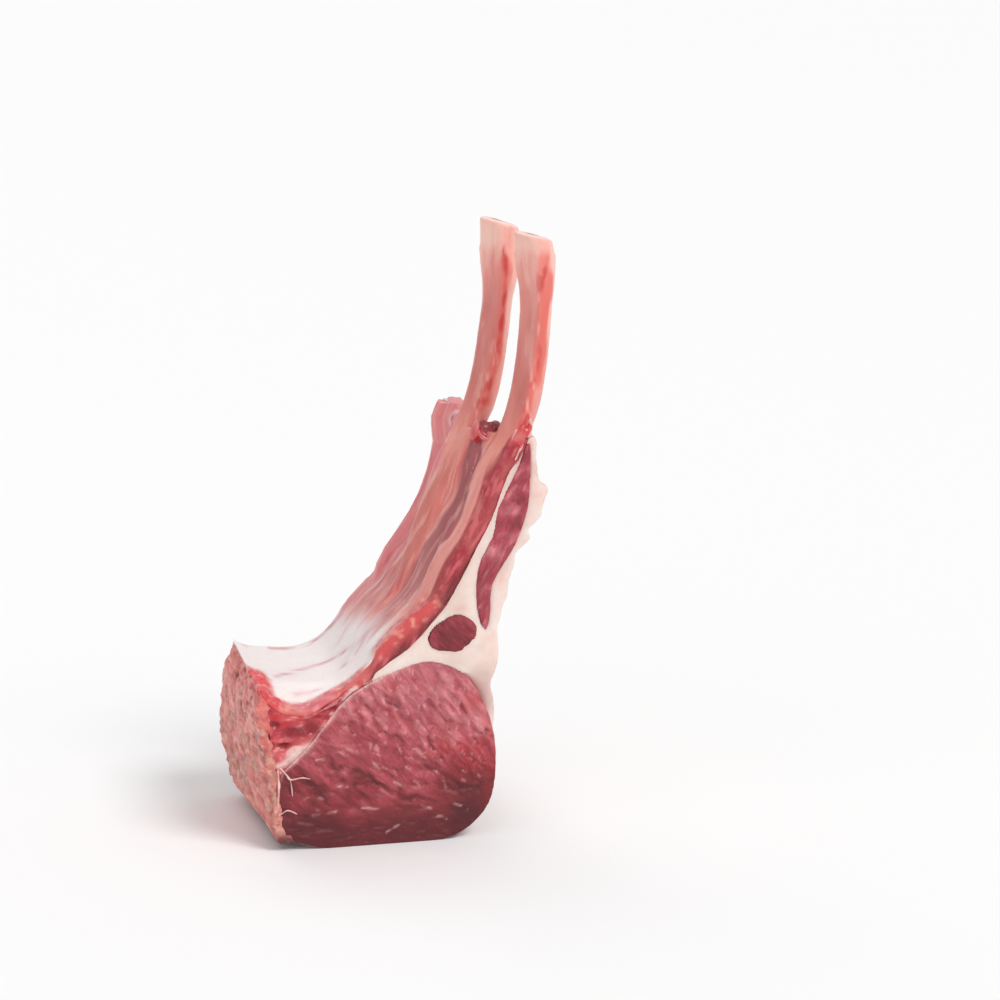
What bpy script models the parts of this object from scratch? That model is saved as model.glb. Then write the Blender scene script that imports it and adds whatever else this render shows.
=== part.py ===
# Raw rack of lamb: three ribs, two of them frenched long and the back one sawn short.
# The backbone runs along Y. The front cut face is at -Y, the sawn backbone side at -X and
# the fat cover at +X. The rack stands on the flat underside of its eye muscle.
# Sections are drawn in the XZ plane, in millimetres, and pulled along Y by one shared bend,
# so that neighbours keep the same small gap all the way through.

import bmesh
import bpy
import numpy as np

MM = 0.001

# Driving dimensions, in millimetres
DEPTH = 57.0                # from the front cut to the back cut
FRONT = -DEPTH / 2
BACK = DEPTH / 2
GAP = 0.36                  # between neighbouring sub-parts, measured across the boundary
SPAN_STEPS = 3              # straight pieces in each span of a smooth outline

RIB_Y = {"rib_1": -22.2, "rib_2": -2.0, "rib_3": 20.4}
STATIONS = (FRONT, RIB_Y["rib_1"], -16.0, -9.0, RIB_Y["rib_2"], 9.0, RIB_Y["rib_3"], BACK)
LONG_RIB_TOP = 181.0
SHORT_RIB_TOP = 123.5
RIB_WIDTH = 9.2             # along the backbone
RIB_THICKNESS = 5.4         # through the rib wall
RIB_CORNER = 2.0
TUNNEL_OVERRUN = 2.0        # how far a tunnel's cutter runs past each cut face
RIB_TWIST = 24.0            # degrees that the flat inner face turns towards the front

# How far each section leans towards the backbone behind the first rib, by height
LEAN_HEIGHTS = (50.0, 66.0, 80.0, 93.0, 110.0, 124.0, 150.0, 182.0)
LEAN_AMOUNTS = (0.0, -2.4, -3.8, -5.8, -8.2, -9.0, -8.2, -6.3)
LEAN_START, LEAN_END = -26.0, -4.0

# How far the backbone side bulges at the back cut, by height
BULGE_HEIGHTS = (0.0, 5.0, 10.0, 16.0, 22.0, 28.0, 35.0, 41.0, 46.0, 50.0)
BULGE_AMOUNTS = (1.0, 3.0, 5.0, 6.5, 7.5, 5.5, 3.4, 2.0, 0.5, 0.0)

# The hollow side over the backbone rises behind the front cut
RISE = 4.6
RISE_X, RISE_WIDTH = -32.0, 8.0

# Outlines at the front cut, (x, z) in millimetres
EYE = [(-37.4, 23.0), (-33.0, 28.0), (-27.6, 33.4), (-22.5, 40.0), (-17.0, 46.3), (-9.5, 50.8),
       (-1.0, 54.6), (8.0, 56.2), (16.0, 53.6), (22.5, 46.2), (26.3, 37.0), (28.0, 27.0),
       (27.6, 16.0), (24.6, 8.4), (17.5, 2.2), (9.0, 0.0), (-7.0, 0.0), (-23.0, 0.0),
       (-31.0, 2.0), (-36.0, 4.6), (-37.5, 13.0)]

INNER = [(-42.7, 50.3), (-38.5, 46.3), (-34.0, 43.4), (-29.0, 43.4), (-22.0, 47.3),
         (-15.5, 51.0), (-10.5, 55.5), (-6.0, 61.0), (0.5, 67.0), (6.8, 72.0), (11.0, 78.0),
         (14.8, 86.5), (19.0, 94.0), (23.3, 100.8), (25.8, 108.0), (28.8, 114.5), (33.0, 122.0)]

STRIP_LINE = [(-8.4, 52.8), (-3.4, 56.2), (1.4, 59.7), (6.0, 64.4), (10.4, 69.0), (14.8, 75.0),
              (18.4, 81.5), (22.3, 88.8), (26.2, 95.5), (28.9, 102.0), (31.5, 109.5),
              (35.2, 115.5), (38.0, 121.5)]

FAT_OUTER = [(29.3, 12.0), (30.2, 20.0), (30.4, 28.0), (28.8, 37.0), (27.9, 43.0), (27.3, 48.0),
             (29.0, 55.0), (29.4, 64.0), (31.0, 71.0), (33.0, 78.5), (35.2, 86.5), (39.0, 93.0),
             (42.0, 98.5), (43.3, 105.0), (41.2, 111.0), (40.8, 116.5), (40.4, 122.0)]

CAP_MUSCLE = [(16.2, 70.0), (19.6, 68.4), (22.0, 65.6), (21.4, 61.6), (17.6, 58.6), (12.0, 58.6),
              (8.6, 60.6), (8.2, 63.8), (11.2, 67.4)]

STRIP_MUSCLE = [(25.0, 64.5), (22.8, 71.0), (22.6, 78.0), (25.0, 85.5), (28.8, 92.5),
                (31.2, 100.5), (34.3, 109.5), (36.6, 116.5), (38.2, 120.2), (38.4, 112.5),
                (37.6, 105.0), (35.8, 98.0), (33.0, 90.5), (29.4, 84.5), (26.4, 78.0),
                (26.2, 70.5)]

LINING_LOW = [(-41.0, 46.0), (-37.4, 42.8), (-33.4, 41.0), (-28.4, 41.2), (-21.8, 45.0),
              (-16.2, 48.7), (-12.2, 52.0)]

CHINE_SIDE = [(-42.7, 50.3), (-43.6, 44.0), (-43.0, 36.0), (-41.6, 28.3), (-40.0, 22.0),
              (-39.6, 15.0), (-39.4, 9.0), (-38.9, 4.0), (-37.4, 1.4), (-33.6, 1.2)]

CHINE_INNER = [(-37.4, 23.0), (-38.9, 28.0), (-40.0, 36.0), (-40.6, 42.0), (-41.0, 46.0)]

RIB_AXIS = [(-5.5, 60.5), (1.6, 66.0), (8.8, 72.8), (13.5, 80.6), (17.2, 88.6), (22.0, 97.6),
            (25.8, 105.5), (28.6, 112.0), (32.6, 119.5), (36.4, 128.0), (39.6, 139.5),
            (41.6, 151.0), (42.3, 165.0), (41.0, LONG_RIB_TOP)]

# The box's middle and its underside, which become the origin
ORIGIN_X = -0.72
ORIGIN_Z = GAP / 2

COLOURS = {
    "eye_muscle": ((0.33, 0.055, 0.065), 0.42),
    "muscle": ((0.36, 0.05, 0.065), 0.45),
    "fat": ((0.82, 0.70, 0.62), 0.40),
    "lining": ((0.84, 0.72, 0.69), 0.35),
    "bone": ((0.62, 0.38, 0.31), 0.45),
    "sawn_bone": ((0.60, 0.33, 0.26), 0.60),
}


def clear_scene():
    for obj in list(bpy.data.objects):
        bpy.data.objects.remove(obj, do_unlink=True)


def make_collection(name):
    collection = bpy.data.collections.new(name)
    bpy.context.scene.collection.children.link(collection)
    return collection


def make_material(name):
    colour, roughness = COLOURS[name]
    material = bpy.data.materials.new(name)
    material.use_nodes = True
    shader = material.node_tree.nodes["Principled BSDF"]
    shader.inputs["Base Color"].default_value = (*colour, 1.0)
    shader.inputs["Roughness"].default_value = roughness
    shader.inputs["Metallic"].default_value = 0.0
    return material


# Outline helpers

def smooth(points, closed=False, steps=SPAN_STEPS):
    """A Catmull-Rom curve through the points."""
    pts = np.array(points, dtype=float)
    if closed:
        pts = np.vstack([pts[-1:], pts, pts[:2]])
    else:
        pts = np.vstack([2 * pts[0] - pts[1], pts, 2 * pts[-1] - pts[-2]])
    out = []
    for before, here, there, after in zip(pts, pts[1:], pts[2:], pts[3:]):
        for t in np.arange(steps) / steps:
            out.append(0.5 * (2 * here + (there - before) * t
                              + (2 * before - 5 * here + 4 * there - after) * t ** 2
                              + (3 * here - before - 3 * there + after) * t ** 3))
    if not closed:
        out.append(pts[-2])
    return np.array(out)


def between(curve, start, end, closed=False):
    """The stretch of a sampled curve from the sample nearest start to the one nearest end."""
    first = int(np.argmin(np.hypot(*(curve - start).T)))
    last = int(np.argmin(np.hypot(*(curve - end).T)))
    if closed and last < first:
        return np.vstack([curve[first:], curve[:last + 1]])
    return curve[first:last + 1]


def grow(outline, distance):
    """The closed outline moved outwards by a distance, or inwards where it is negative."""
    pts = np.array(outline)
    turned = np.roll(pts, -1, axis=0)
    if np.sum(pts[:, 0] * turned[:, 1] - turned[:, 0] * pts[:, 1]) < 0:
        pts = pts[::-1]
    ahead = np.roll(pts, -1, axis=0) - pts
    ahead /= np.linalg.norm(ahead, axis=1)[:, None]
    behind = np.roll(ahead, 1, axis=0)
    corner = ahead + behind
    corner /= np.maximum(np.linalg.norm(corner, axis=1), 0.2)[:, None]
    outward = np.stack([corner[:, 1], -corner[:, 0]], axis=1)
    stretch = 1.0 / np.maximum(np.sum(corner * ahead, axis=1), 0.6)
    return pts + outward * (distance * stretch)[:, None]


# The shared bend

def ease(low, high, value):
    t = min(max((value - low) / (high - low), 0.0), 1.0)
    return t * t * (3 - 2 * t)


def bend(x, y, z):
    """Where a point of the straight extrusion goes in the real, leaning rack."""
    lean = np.interp(z, LEAN_HEIGHTS, LEAN_AMOUNTS) * ease(LEAN_START, LEAN_END, y)
    outside = min(max((-37.6 - x) / 1.8, 0.0), 1.0)
    along = (y - FRONT) / DEPTH
    bulge = np.interp(z, BULGE_HEIGHTS, BULGE_AMOUNTS) * max(along, 0.0) ** 0.8 * outside
    over_backbone = np.exp(-((x - RISE_X) / RISE_WIDTH) ** 2) * min(max((z - 28) / 14, 0.0), 1.0)
    rise = RISE * ease(FRONT, FRONT + 15, y) * over_backbone
    return x + lean - bulge - ORIGIN_X, y, z + rise - ORIGIN_Z


# Solids

def add_object(name, mesh, collection, material=None):
    obj = bpy.data.objects.new(name, mesh)
    collection.objects.link(obj)
    if material:
        mesh.materials.append(material)
    return obj


def pull(name, outline, collection, material=None, stations=STATIONS):
    """A closed outline pulled along Y from station to station, then bent."""
    bm = bmesh.new()
    ring = [bm.verts.new((x, stations[0], z)) for x, z in outline]
    cap = bm.faces.new(ring)
    for number, (start, end) in enumerate(zip(stations, stations[1:])):
        made = bmesh.ops.extrude_face_region(bm, geom=[cap])["geom"]
        moved = [part for part in made if isinstance(part, bmesh.types.BMVert)]
        if number > 0:
            bm.faces.remove(cap)
        cap = next(part for part in made if isinstance(part, bmesh.types.BMFace))
        bmesh.ops.translate(bm, verts=moved, vec=(0.0, end - start, 0.0))
    for vert in bm.verts:
        vert.co = [value * MM for value in bend(*vert.co)]
    bmesh.ops.triangulate(bm, faces=bm.faces[:])
    bmesh.ops.recalc_face_normals(bm, faces=bm.faces[:])
    mesh = bpy.data.meshes.new(name)
    bm.to_mesh(mesh)
    bm.free()
    return add_object(name, mesh, collection, material)


def rounded_section(name, width, thickness, corner, collection):
    """The rib's cross-section: a rounded rectangle as a flat curve."""
    curve = bpy.data.curves.new(name, "CURVE")
    curve.dimensions = "2D"
    points = []
    for quarter, (side_x, side_y) in enumerate([(1, 1), (-1, 1), (-1, -1), (1, -1)]):
        for turn in (0, 45, 90):
            angle = np.radians(90 * quarter + turn)
            points.append((side_x * (width / 2 - corner) + corner * np.cos(angle),
                           side_y * (thickness / 2 - corner) + corner * np.sin(angle)))
    spline = curve.splines.new("POLY")
    spline.points.add(len(points) - 1)
    for point, (x, y) in zip(spline.points, points):
        point.co = (x * MM, y * MM, 0.0, 1.0)
    spline.use_cyclic_u = True
    section = bpy.data.objects.new(name, curve)
    collection.objects.link(section)
    section.hide_render = True
    section.display_type = "WIRE"
    return section


def rib_size(height):
    """The rib is stout at its lower end, even in the wall, and wider once it is bare."""
    stout = 0.10 * (1 - ease(62, 74, height))
    bare = 0.12 * ease(112, 132, height)
    flare = 0.10 * ease(168, 182, height)
    return 1.0 + stout + bare + flare


def sweep_rib(name, y, top, clearance, guides, collection, material=None):
    """A rib as a curve that carries the section, made a mesh with welded caps."""
    axis = smooth(RIB_AXIS, steps=2)
    axis = axis[axis[:, 1] <= top + 0.01]
    if axis[-1][1] < top - 0.5:
        axis = np.vstack([axis, [np.interp(top, *smooth(RIB_AXIS)[:, ::-1].T), top]])
    section = rounded_section(name + "_section", RIB_WIDTH + 2 * clearance,
                              RIB_THICKNESS + 2 * clearance, RIB_CORNER + clearance, guides)
    curve = bpy.data.curves.new(name, "CURVE")
    curve.dimensions = "3D"
    curve.twist_mode = "MINIMUM"
    curve.bevel_mode = "OBJECT"
    curve.bevel_object = section
    curve.use_fill_caps = True
    spline = curve.splines.new("POLY")
    spline.points.add(len(axis) - 1)
    for point, (x, z) in zip(spline.points, axis):
        place = bend(x, y, z)
        point.co = (*[value * MM for value in place], 1.0)
        point.tilt = np.radians(RIB_TWIST)
        point.radius = rib_size(z)
    rib_curve = bpy.data.objects.new(name, curve)
    collection.objects.link(rib_curve)
    bpy.context.view_layer.update()

    depsgraph = bpy.context.evaluated_depsgraph_get()
    mesh = bpy.data.meshes.new_from_object(rib_curve.evaluated_get(depsgraph))
    place = rib_curve.matrix_world.copy()
    bpy.data.objects.remove(rib_curve, do_unlink=True)
    bpy.data.objects.remove(section, do_unlink=True)
    bm = bmesh.new()
    bm.from_mesh(mesh)
    bmesh.ops.remove_doubles(bm, verts=bm.verts[:], dist=0.00005)
    bmesh.ops.recalc_face_normals(bm, faces=bm.faces[:])
    bm.to_mesh(mesh)
    bm.free()
    mesh.name = name
    mesh.materials.clear()
    rib = add_object(name, mesh, collection, material)
    rib.matrix_world = place
    return rib


def cut(target, cutter):
    cutter.hide_render = True
    cutter.display_type = "WIRE"
    modifier = target.modifiers.new("cut_" + cutter.name, "BOOLEAN")
    modifier.operation = "DIFFERENCE"
    modifier.solver = "EXACT"
    modifier.object = cutter


# The rack

def make_muscles(rack, rib_grooves, materials, eye_line):
    half = GAP / 2
    pull("eye_muscle", grow(eye_line, -half), rack, materials["eye_muscle"])
    pull("cap_muscle", smooth(CAP_MUSCLE, closed=True, steps=2), rack, materials["muscle"])
    strip = pull("strip_muscle", smooth(STRIP_MUSCLE, closed=True, steps=2), rack,
                 materials["muscle"])
    for groove in rib_grooves:
        cut(strip, groove)

    chine_inner = smooth(CHINE_INNER)
    lining_low = smooth(LINING_LOW)
    under = between(eye_line, (-37.4, 23.0), (-11.5, 49.7))
    backbone_meat = np.vstack([under, lining_low[::-1], chine_inner[::-1][1:-1]])
    pull("backbone_meat", grow(backbone_meat, -half), rack, materials["muscle"])


def make_fat(rack, cutters, materials, eye_line, strip_line):
    half = GAP / 2
    over_eye = between(eye_line, (-8.6, 51.2), (27.0, 13.5), closed=True)
    outline = np.vstack([over_eye, smooth(FAT_OUTER, steps=2), strip_line[::-1]])
    fat = pull("fat_cover", grow(outline, -half), rack, materials["fat"])
    through = (FRONT - TUNNEL_OVERRUN, *STATIONS, BACK + TUNNEL_OVERRUN)
    for name, points in (("cap_tunnel", CAP_MUSCLE), ("strip_tunnel", STRIP_MUSCLE)):
        tunnel = grow(smooth(points, closed=True, steps=2), GAP)
        cut(fat, pull(name, tunnel, cutters, stations=through))
    return fat


def make_backbone(rack, materials, eye_line, inner_line):
    half = GAP / 2
    chine_inner = smooth(CHINE_INNER)
    side = smooth(CHINE_SIDE)
    beside_eye = between(eye_line, (-34.5, 3.6), (-37.4, 23.0), closed=True)
    chine = np.vstack([side, beside_eye, chine_inner[1:]])
    pull("chine_bone", grow(chine, -half), rack, materials["sawn_bone"])

    lining_low = smooth(LINING_LOW)
    top = between(inner_line, (-41.4, 49.0), (-13.0, 53.2))
    lining = np.vstack([top, lining_low[::-1]])
    pull("rib_lining", grow(lining, -half), rack, materials["lining"])


def make_wall(rack, rib_grooves, materials, strip_line, inner_line):
    """The meat between the ribs: a strip before, between and behind them."""
    half = GAP / 2
    inner = between(inner_line, (-12.0, 54.2), (33.0, 122.0))
    outline = np.vstack([[(-11.4, 52.6)], inner, strip_line[::-1], [(-9.8, 51.8)]])
    edges = [FRONT] + list(RIB_Y.values()) + [BACK]
    for number, (start, end) in enumerate(zip(edges, edges[1:])):
        first = start if start == FRONT else start + half
        last = end if end == BACK else end - half
        inside = [station for station in STATIONS if start < station < end]
        strip = pull(f"rib_meat_{number}", grow(outline, -half), rack, materials["muscle"],
                     (first, *inside, last))
        for groove in rib_grooves[max(number - 1, 0):number + 1]:
            cut(strip, groove)


def main():
    clear_scene()
    rack = make_collection("rack_of_lamb")
    cutters = make_collection("cutters")
    materials = {name: make_material(name) for name in COLOURS}

    eye_line = smooth(EYE, closed=True)
    eye_line[:, 1] = np.maximum(eye_line[:, 1], 0.0)
    strip_line = smooth(STRIP_LINE)
    inner_line = smooth(INNER)

    rib_grooves = []
    for name, y in RIB_Y.items():
        top = SHORT_RIB_TOP if name == "rib_3" else LONG_RIB_TOP
        sweep_rib(name, y, top, 0.0, cutters, rack, materials["bone"])
        rib_grooves.append(sweep_rib(name + "_groove", y, LONG_RIB_TOP, GAP, cutters, cutters))

    make_muscles(rack, rib_grooves, materials, eye_line)
    make_backbone(rack, materials, eye_line, inner_line)
    make_wall(rack, rib_grooves, materials, strip_line, inner_line)
    fat = make_fat(rack, cutters, materials, eye_line, strip_line)
    for groove in rib_grooves:
        cut(fat, groove)


main()
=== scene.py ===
import math

import bmesh
import bpy
import numpy as np
from mathutils import Matrix, Vector
from mathutils.bvhtree import BVHTree
from mathutils.kdtree import KDTree


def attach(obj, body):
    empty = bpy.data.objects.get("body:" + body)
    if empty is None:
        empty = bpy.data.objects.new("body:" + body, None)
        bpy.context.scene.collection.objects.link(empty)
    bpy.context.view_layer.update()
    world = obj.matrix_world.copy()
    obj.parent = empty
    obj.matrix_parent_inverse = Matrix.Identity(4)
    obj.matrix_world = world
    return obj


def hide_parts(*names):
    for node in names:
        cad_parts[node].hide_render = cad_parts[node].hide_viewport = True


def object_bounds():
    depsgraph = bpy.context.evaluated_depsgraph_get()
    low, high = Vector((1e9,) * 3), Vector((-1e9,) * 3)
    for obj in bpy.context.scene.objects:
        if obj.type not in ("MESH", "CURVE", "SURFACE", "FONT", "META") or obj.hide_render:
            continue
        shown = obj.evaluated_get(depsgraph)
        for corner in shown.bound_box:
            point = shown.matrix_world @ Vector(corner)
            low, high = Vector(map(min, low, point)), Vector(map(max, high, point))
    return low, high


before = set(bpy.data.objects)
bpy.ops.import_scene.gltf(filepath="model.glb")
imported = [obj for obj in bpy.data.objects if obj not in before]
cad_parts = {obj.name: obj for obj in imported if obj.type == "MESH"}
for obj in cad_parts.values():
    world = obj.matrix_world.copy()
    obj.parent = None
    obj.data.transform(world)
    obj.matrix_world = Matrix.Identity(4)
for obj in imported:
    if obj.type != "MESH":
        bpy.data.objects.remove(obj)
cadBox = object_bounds()
scene = bpy.context.scene
mm = 0.001

# the box of the whole rack, in millimetres
low = [value / mm for value in cadBox[0]]
high = [value / mm for value in cadBox[1]]
frontY = low[1]
backY = high[1]

# how far the flesh may swell out of the front and the back cut
cutHold = {"from": 28.6, "room": 0.7}

# how each cross-section leans towards the backbone behind the first rib
lean = {
    "heights": (50.0, 66.0, 80.0, 93.0, 110.0, 124.0, 150.0, 182.0),
    "amounts": (0.0, -2.4, -3.8, -5.8, -8.2, -9.0, -8.2, -6.3),
    "start": -26.0,
    "end": -4.0,
    "shift": 0.72,
    # the hollow over the backbone rises behind the front cut
    "rise": 4.6, "riseX": -32.0, "riseWidth": 8.0,
    # the sawn side bulges towards the back cut
    "bulgeHeights": (0.0, 5.0, 10.0, 16.0, 22.0, 28.0, 35.0, 41.0, 46.0, 50.0),
    "bulgeAmounts": (1.0, 3.0, 5.0, 6.5, 7.5, 5.5, 3.4, 2.0, 0.5, 0.0),
}


# shaping helpers: every length below is in millimetres

def ease(start, end, value):
    t = np.clip((value - start) / (end - start), 0.0, 1.0)
    return t * t * (3.0 - 2.0 * t)


def band(value, start, end, soft):
    # 1 between start and end, fading out over soft on both sides
    return ease(start - soft, start + soft, value) * (1.0 - ease(end - soft, end + soft, value))


def toSection(points):
    # undoes the lean: x and z as they are in the front cut
    y, z = points[:, 1], points[:, 2]
    shift = np.interp(z, lean["heights"], lean["amounts"]) * ease(lean["start"], lean["end"], y)
    return points[:, 0] - lean["shift"] - shift, y, z


def scatterValue(ix, iy, iz, seed):
    # a repeatable value from 0 to 1 for every corner of a lattice
    mixed = (ix * 73856093) ^ (iy * 19349663) ^ (iz * 83492791) ^ (seed * 374761393 + 668265263)
    mixed = (mixed ^ (mixed >> 13)) * 1274126177
    mixed = mixed ^ (mixed >> 16)
    return (mixed & 0xFFFF) / 65535.0


def softNoise(x, y, z, seed):
    # smooth noise from -1 to 1 with features about one unit wide
    x, y, z = np.broadcast_arrays(x, y, z)
    cellX, cellY, cellZ = [np.floor(value).astype(np.int64) for value in (x, y, z)]
    tx, ty, tz = [t * t * (3.0 - 2.0 * t) for t in (x - cellX, y - cellY, z - cellZ)]
    total = np.zeros(x.shape)
    for dx in (0, 1):
        for dy in (0, 1):
            for dz in (0, 1):
                weight = ((tx if dx else 1.0 - tx) * (ty if dy else 1.0 - ty)
                          * (tz if dz else 1.0 - tz))
                total += weight * scatterValue(cellX + dx, cellY + dy, cellZ + dz, seed)
    return total * 2.0 - 1.0


def layeredNoise(points, size, seed, octaves=3, stretch=(1.0, 1.0, 1.0)):
    total = np.zeros(len(points))
    strength, norm = 1.0, 0.0
    for octave in range(octaves):
        place = points / (size * 0.5 ** octave) / np.array(stretch)
        total += strength * softNoise(place[:, 0], place[:, 1], place[:, 2], seed + octave * 17)
        norm += strength
        strength *= 0.5
    return total / norm


def nearestLine(x, z, line):
    # distance from each point to a drawn line
    best = np.full(x.shape, 1e9)
    for (x0, z0), (x1, z1) in zip(line, line[1:]):
        dx, dz = x1 - x0, z1 - z0
        t = np.clip(((x - x0) * dx + (z - z0) * dz) / (dx * dx + dz * dz), 0.0, 1.0)
        best = np.minimum(best, np.hypot(x - x0 - t * dx, z - z0 - t * dz))
    return best


def patches(x, z, places):
    # soft round patches in the cut
    found = np.zeros(len(x))
    for middleX, middleZ, wide, tall in places:
        found = np.maximum(found, np.exp(-((x - middleX) / wide) ** 2 - ((z - middleZ) / tall) ** 2))
    return found


def smoothLine(points, steps):
    # a Catmull-Rom curve through the points
    pts = np.array(points, dtype=float)
    pts = np.vstack([2 * pts[0] - pts[1], pts, 2 * pts[-1] - pts[-2]])
    out = []
    for before, here, there, after in zip(pts, pts[1:], pts[2:], pts[3:]):
        for t in np.arange(steps) / steps:
            out.append(0.5 * (2 * here + (there - before) * t
                              + (2 * before - 5 * here + 4 * there - after) * t ** 2
                              + (3 * here - before - 3 * there + after) * t ** 3))
    return np.vstack([out, pts[-2:-1]])


def mergedNode(nodeName, swell, below=None):
    # a welded copy of a CAD node, swollen along its normals and cut off at a height
    part = bmesh.new()
    part.from_mesh(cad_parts[nodeName].data)
    bmesh.ops.remove_doubles(part, verts=part.verts[:], dist=0.01 * mm)
    if below is not None:
        everything = part.verts[:] + part.edges[:] + part.faces[:]
        bmesh.ops.bisect_plane(part, geom=everything, plane_co=(0.0, 0.0, below * mm),
                               plane_no=(0.0, 0.0, 1.0), clear_outer=True)
        bmesh.ops.holes_fill(part, edges=part.edges[:], sides=0)
    part.normal_update()
    for vert in part.verts:
        vert.co += vert.normal * swell * mm
    return part


def addShape(joined, part):
    partMesh = bpy.data.meshes.new("part")
    part.to_mesh(partMesh)
    part.free()
    joined.from_mesh(partMesh)
    bpy.data.meshes.remove(partMesh)


def blob(place, radii, turn):
    # an egg of flesh: its middle, its three radii and its turn about Y, in millimetres and degrees
    part = bmesh.new()
    bmesh.ops.create_icosphere(part, subdivisions=2, radius=1.0)
    bmesh.ops.scale(part, verts=part.verts[:], vec=Vector(radii) * mm)
    bmesh.ops.rotate(part, verts=part.verts[:], cent=(0.0, 0.0, 0.0),
                     matrix=Matrix.Rotation(math.radians(turn), 3, "Y"))
    bmesh.ops.translate(part, verts=part.verts[:], vec=Vector(place) * mm)
    return part


def skinOver(pieceName, nodeName, swell, voxel, relax):
    # one continuous skin over a CAD node, swollen so that it meets its neighbours
    return remeshed(pieceName, mergedNode(nodeName, swell), voxel, relax)


def remeshed(pieceName, bm, voxel, relax):
    rough = bpy.data.meshes.new(pieceName + "Rough")
    bm.to_mesh(rough)
    bm.free()
    holder = bpy.data.objects.new(pieceName + "Rough", rough)
    scene.collection.objects.link(holder)
    skin = holder.modifiers.new("skin", "REMESH")
    skin.mode = "VOXEL"
    skin.voxel_size = voxel * mm
    depsgraph = bpy.context.evaluated_depsgraph_get()
    mesh = bpy.data.meshes.new_from_object(holder.evaluated_get(depsgraph))
    bpy.data.objects.remove(holder, do_unlink=True)
    bpy.data.meshes.remove(rough)
    mesh.name = pieceName
    even = bmesh.new()
    even.from_mesh(mesh)
    for turn in range(relax):
        bmesh.ops.smooth_vert(even, verts=even.verts[:], factor=0.5, use_axis_x=True,
                              use_axis_y=True, use_axis_z=True)
    even.to_mesh(mesh)
    even.free()
    mesh.shade_smooth()
    piece = bpy.data.objects.new(pieceName, mesh)
    scene.collection.objects.link(piece)
    return piece


def roundOff(piece, above, turns):
    # wears down the corners above a height
    worn = bmesh.new()
    worn.from_mesh(piece.data)
    verts = [vert for vert in worn.verts if vert.co.z > above * mm]
    for turn in range(turns):
        bmesh.ops.smooth_vert(worn, verts=verts, factor=0.5, use_axis_x=True, use_axis_y=True,
                              use_axis_z=True)
    worn.to_mesh(piece.data)
    worn.free()


def readSkin(piece):
    mesh = piece.data
    points = np.empty(len(mesh.vertices) * 3)
    mesh.vertices.foreach_get("co", points)
    normals = np.empty(len(mesh.vertices) * 3)
    mesh.vertex_normals.foreach_get("vector", normals)
    return points.reshape(-1, 3) / mm, normals.reshape(-1, 3)


def writeSkin(piece, points):
    # bumps on the two cuts are held close to the box
    beyond = np.abs(points[:, 1]) - cutHold["from"]
    held = cutHold["from"] + cutHold["room"] * np.tanh(beyond / cutHold["room"])
    points[:, 1] = np.where(beyond > 0.0, np.sign(points[:, 1]) * held, points[:, 1])
    piece.data.vertices.foreach_set("co", (points * mm).ravel())
    piece.data.update()


def setMask(piece, maskName, values):
    layer = piece.data.attributes.new(maskName, "FLOAT", "POINT")
    layer.data.foreach_set("value", np.clip(values, 0.0, 1.0).astype(np.float32))


def distanceTo(points, nodeNames):
    # how far each point is from the surfaces of some CAD nodes
    best = np.full(len(points), 99.0)
    for nodeName in nodeNames:
        part = bmesh.new()
        part.from_mesh(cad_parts[nodeName].data)
        tree = BVHTree.FromBMesh(part)
        found = [tree.find_nearest(Vector(point * mm), 8.0 * mm)[3] for point in points]
        part.free()
        best = np.minimum(best, [99.0 if far is None else far / mm for far in found])
    return best


def rimDistance(points, normals, cutY):
    # distance across a cut face from its own edge
    onRim = (np.abs(points[:, 1] - cutY) < 2.0) & (np.abs(normals[:, 1]) < 0.6)
    onCut = (np.abs(points[:, 1] - cutY) < 1.6) & (np.abs(normals[:, 1]) >= 0.6)
    tree = KDTree(int(onRim.sum()))
    for number, (x, y, z) in enumerate(points[onRim]):
        tree.insert((x, 0.0, z), number)
    tree.balance()
    distance = np.zeros(len(points))
    distance[onCut] = [tree.find((x, 0.0, z))[2] for x, y, z in points[onCut]]
    return distance


def cutFaces(points, normals):
    # how much each point belongs to the front or the back cut, and its distance from the rim
    isCut = ease(0.45, 0.85, np.abs(normals[:, 1]))
    isCut *= np.where(np.minimum(points[:, 1] - frontY, backY - points[:, 1]) < 1.8, 1.0, 0.0)
    distance = np.maximum(rimDistance(points, normals, frontY),
                          rimDistance(points, normals, backY))
    return isCut, distance


def domeCut(points, isCut, distance, drop, rise, reach=3.0):
    # a cut face is pulled back at its rim and swells a little in the middle
    outward = np.sign(points[:, 1])
    moved = -drop * np.exp(-distance / 0.9) + rise * (1.0 - np.exp(-distance / reach))
    points[:, 1] += outward * moved * isCut


# material helpers

def paint(red, green, blue):
    # a paint colour from 0 to 255, made linear
    values = [value / 255.0 for value in (red, green, blue)]
    return [v / 12.92 if v <= 0.04045 else ((v + 0.055) / 1.055) ** 2.4 for v in values] + [1.0]


def linkNode(material, kind, place, **settings):
    node = material.node_tree.nodes.new(kind)
    node.location = place
    for setting, value in settings.items():
        setattr(node, setting, value)
    return node


def mixColour(material, place, factor, first, second, blend="MIX"):
    mix = linkNode(material, "ShaderNodeMix", place, data_type="RGBA", blend_type=blend)
    mix.clamp_factor = True
    links = material.node_tree.links
    for socket, value in ((mix.inputs[0], factor), (mix.inputs[6], first), (mix.inputs[7], second)):
        if isinstance(value, bpy.types.NodeSocket):
            links.new(value, socket)
        else:
            socket.default_value = value
    return mix.outputs[2]


def multiplyAdd(material, place, value, factor, addend):
    node = linkNode(material, "ShaderNodeMath", place, operation="MULTIPLY_ADD")
    for socket, item in zip(node.inputs, (value, factor, addend)):
        if isinstance(item, bpy.types.NodeSocket):
            material.node_tree.links.new(item, socket)
        else:
            socket.default_value = item
    return node.outputs[0]


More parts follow.
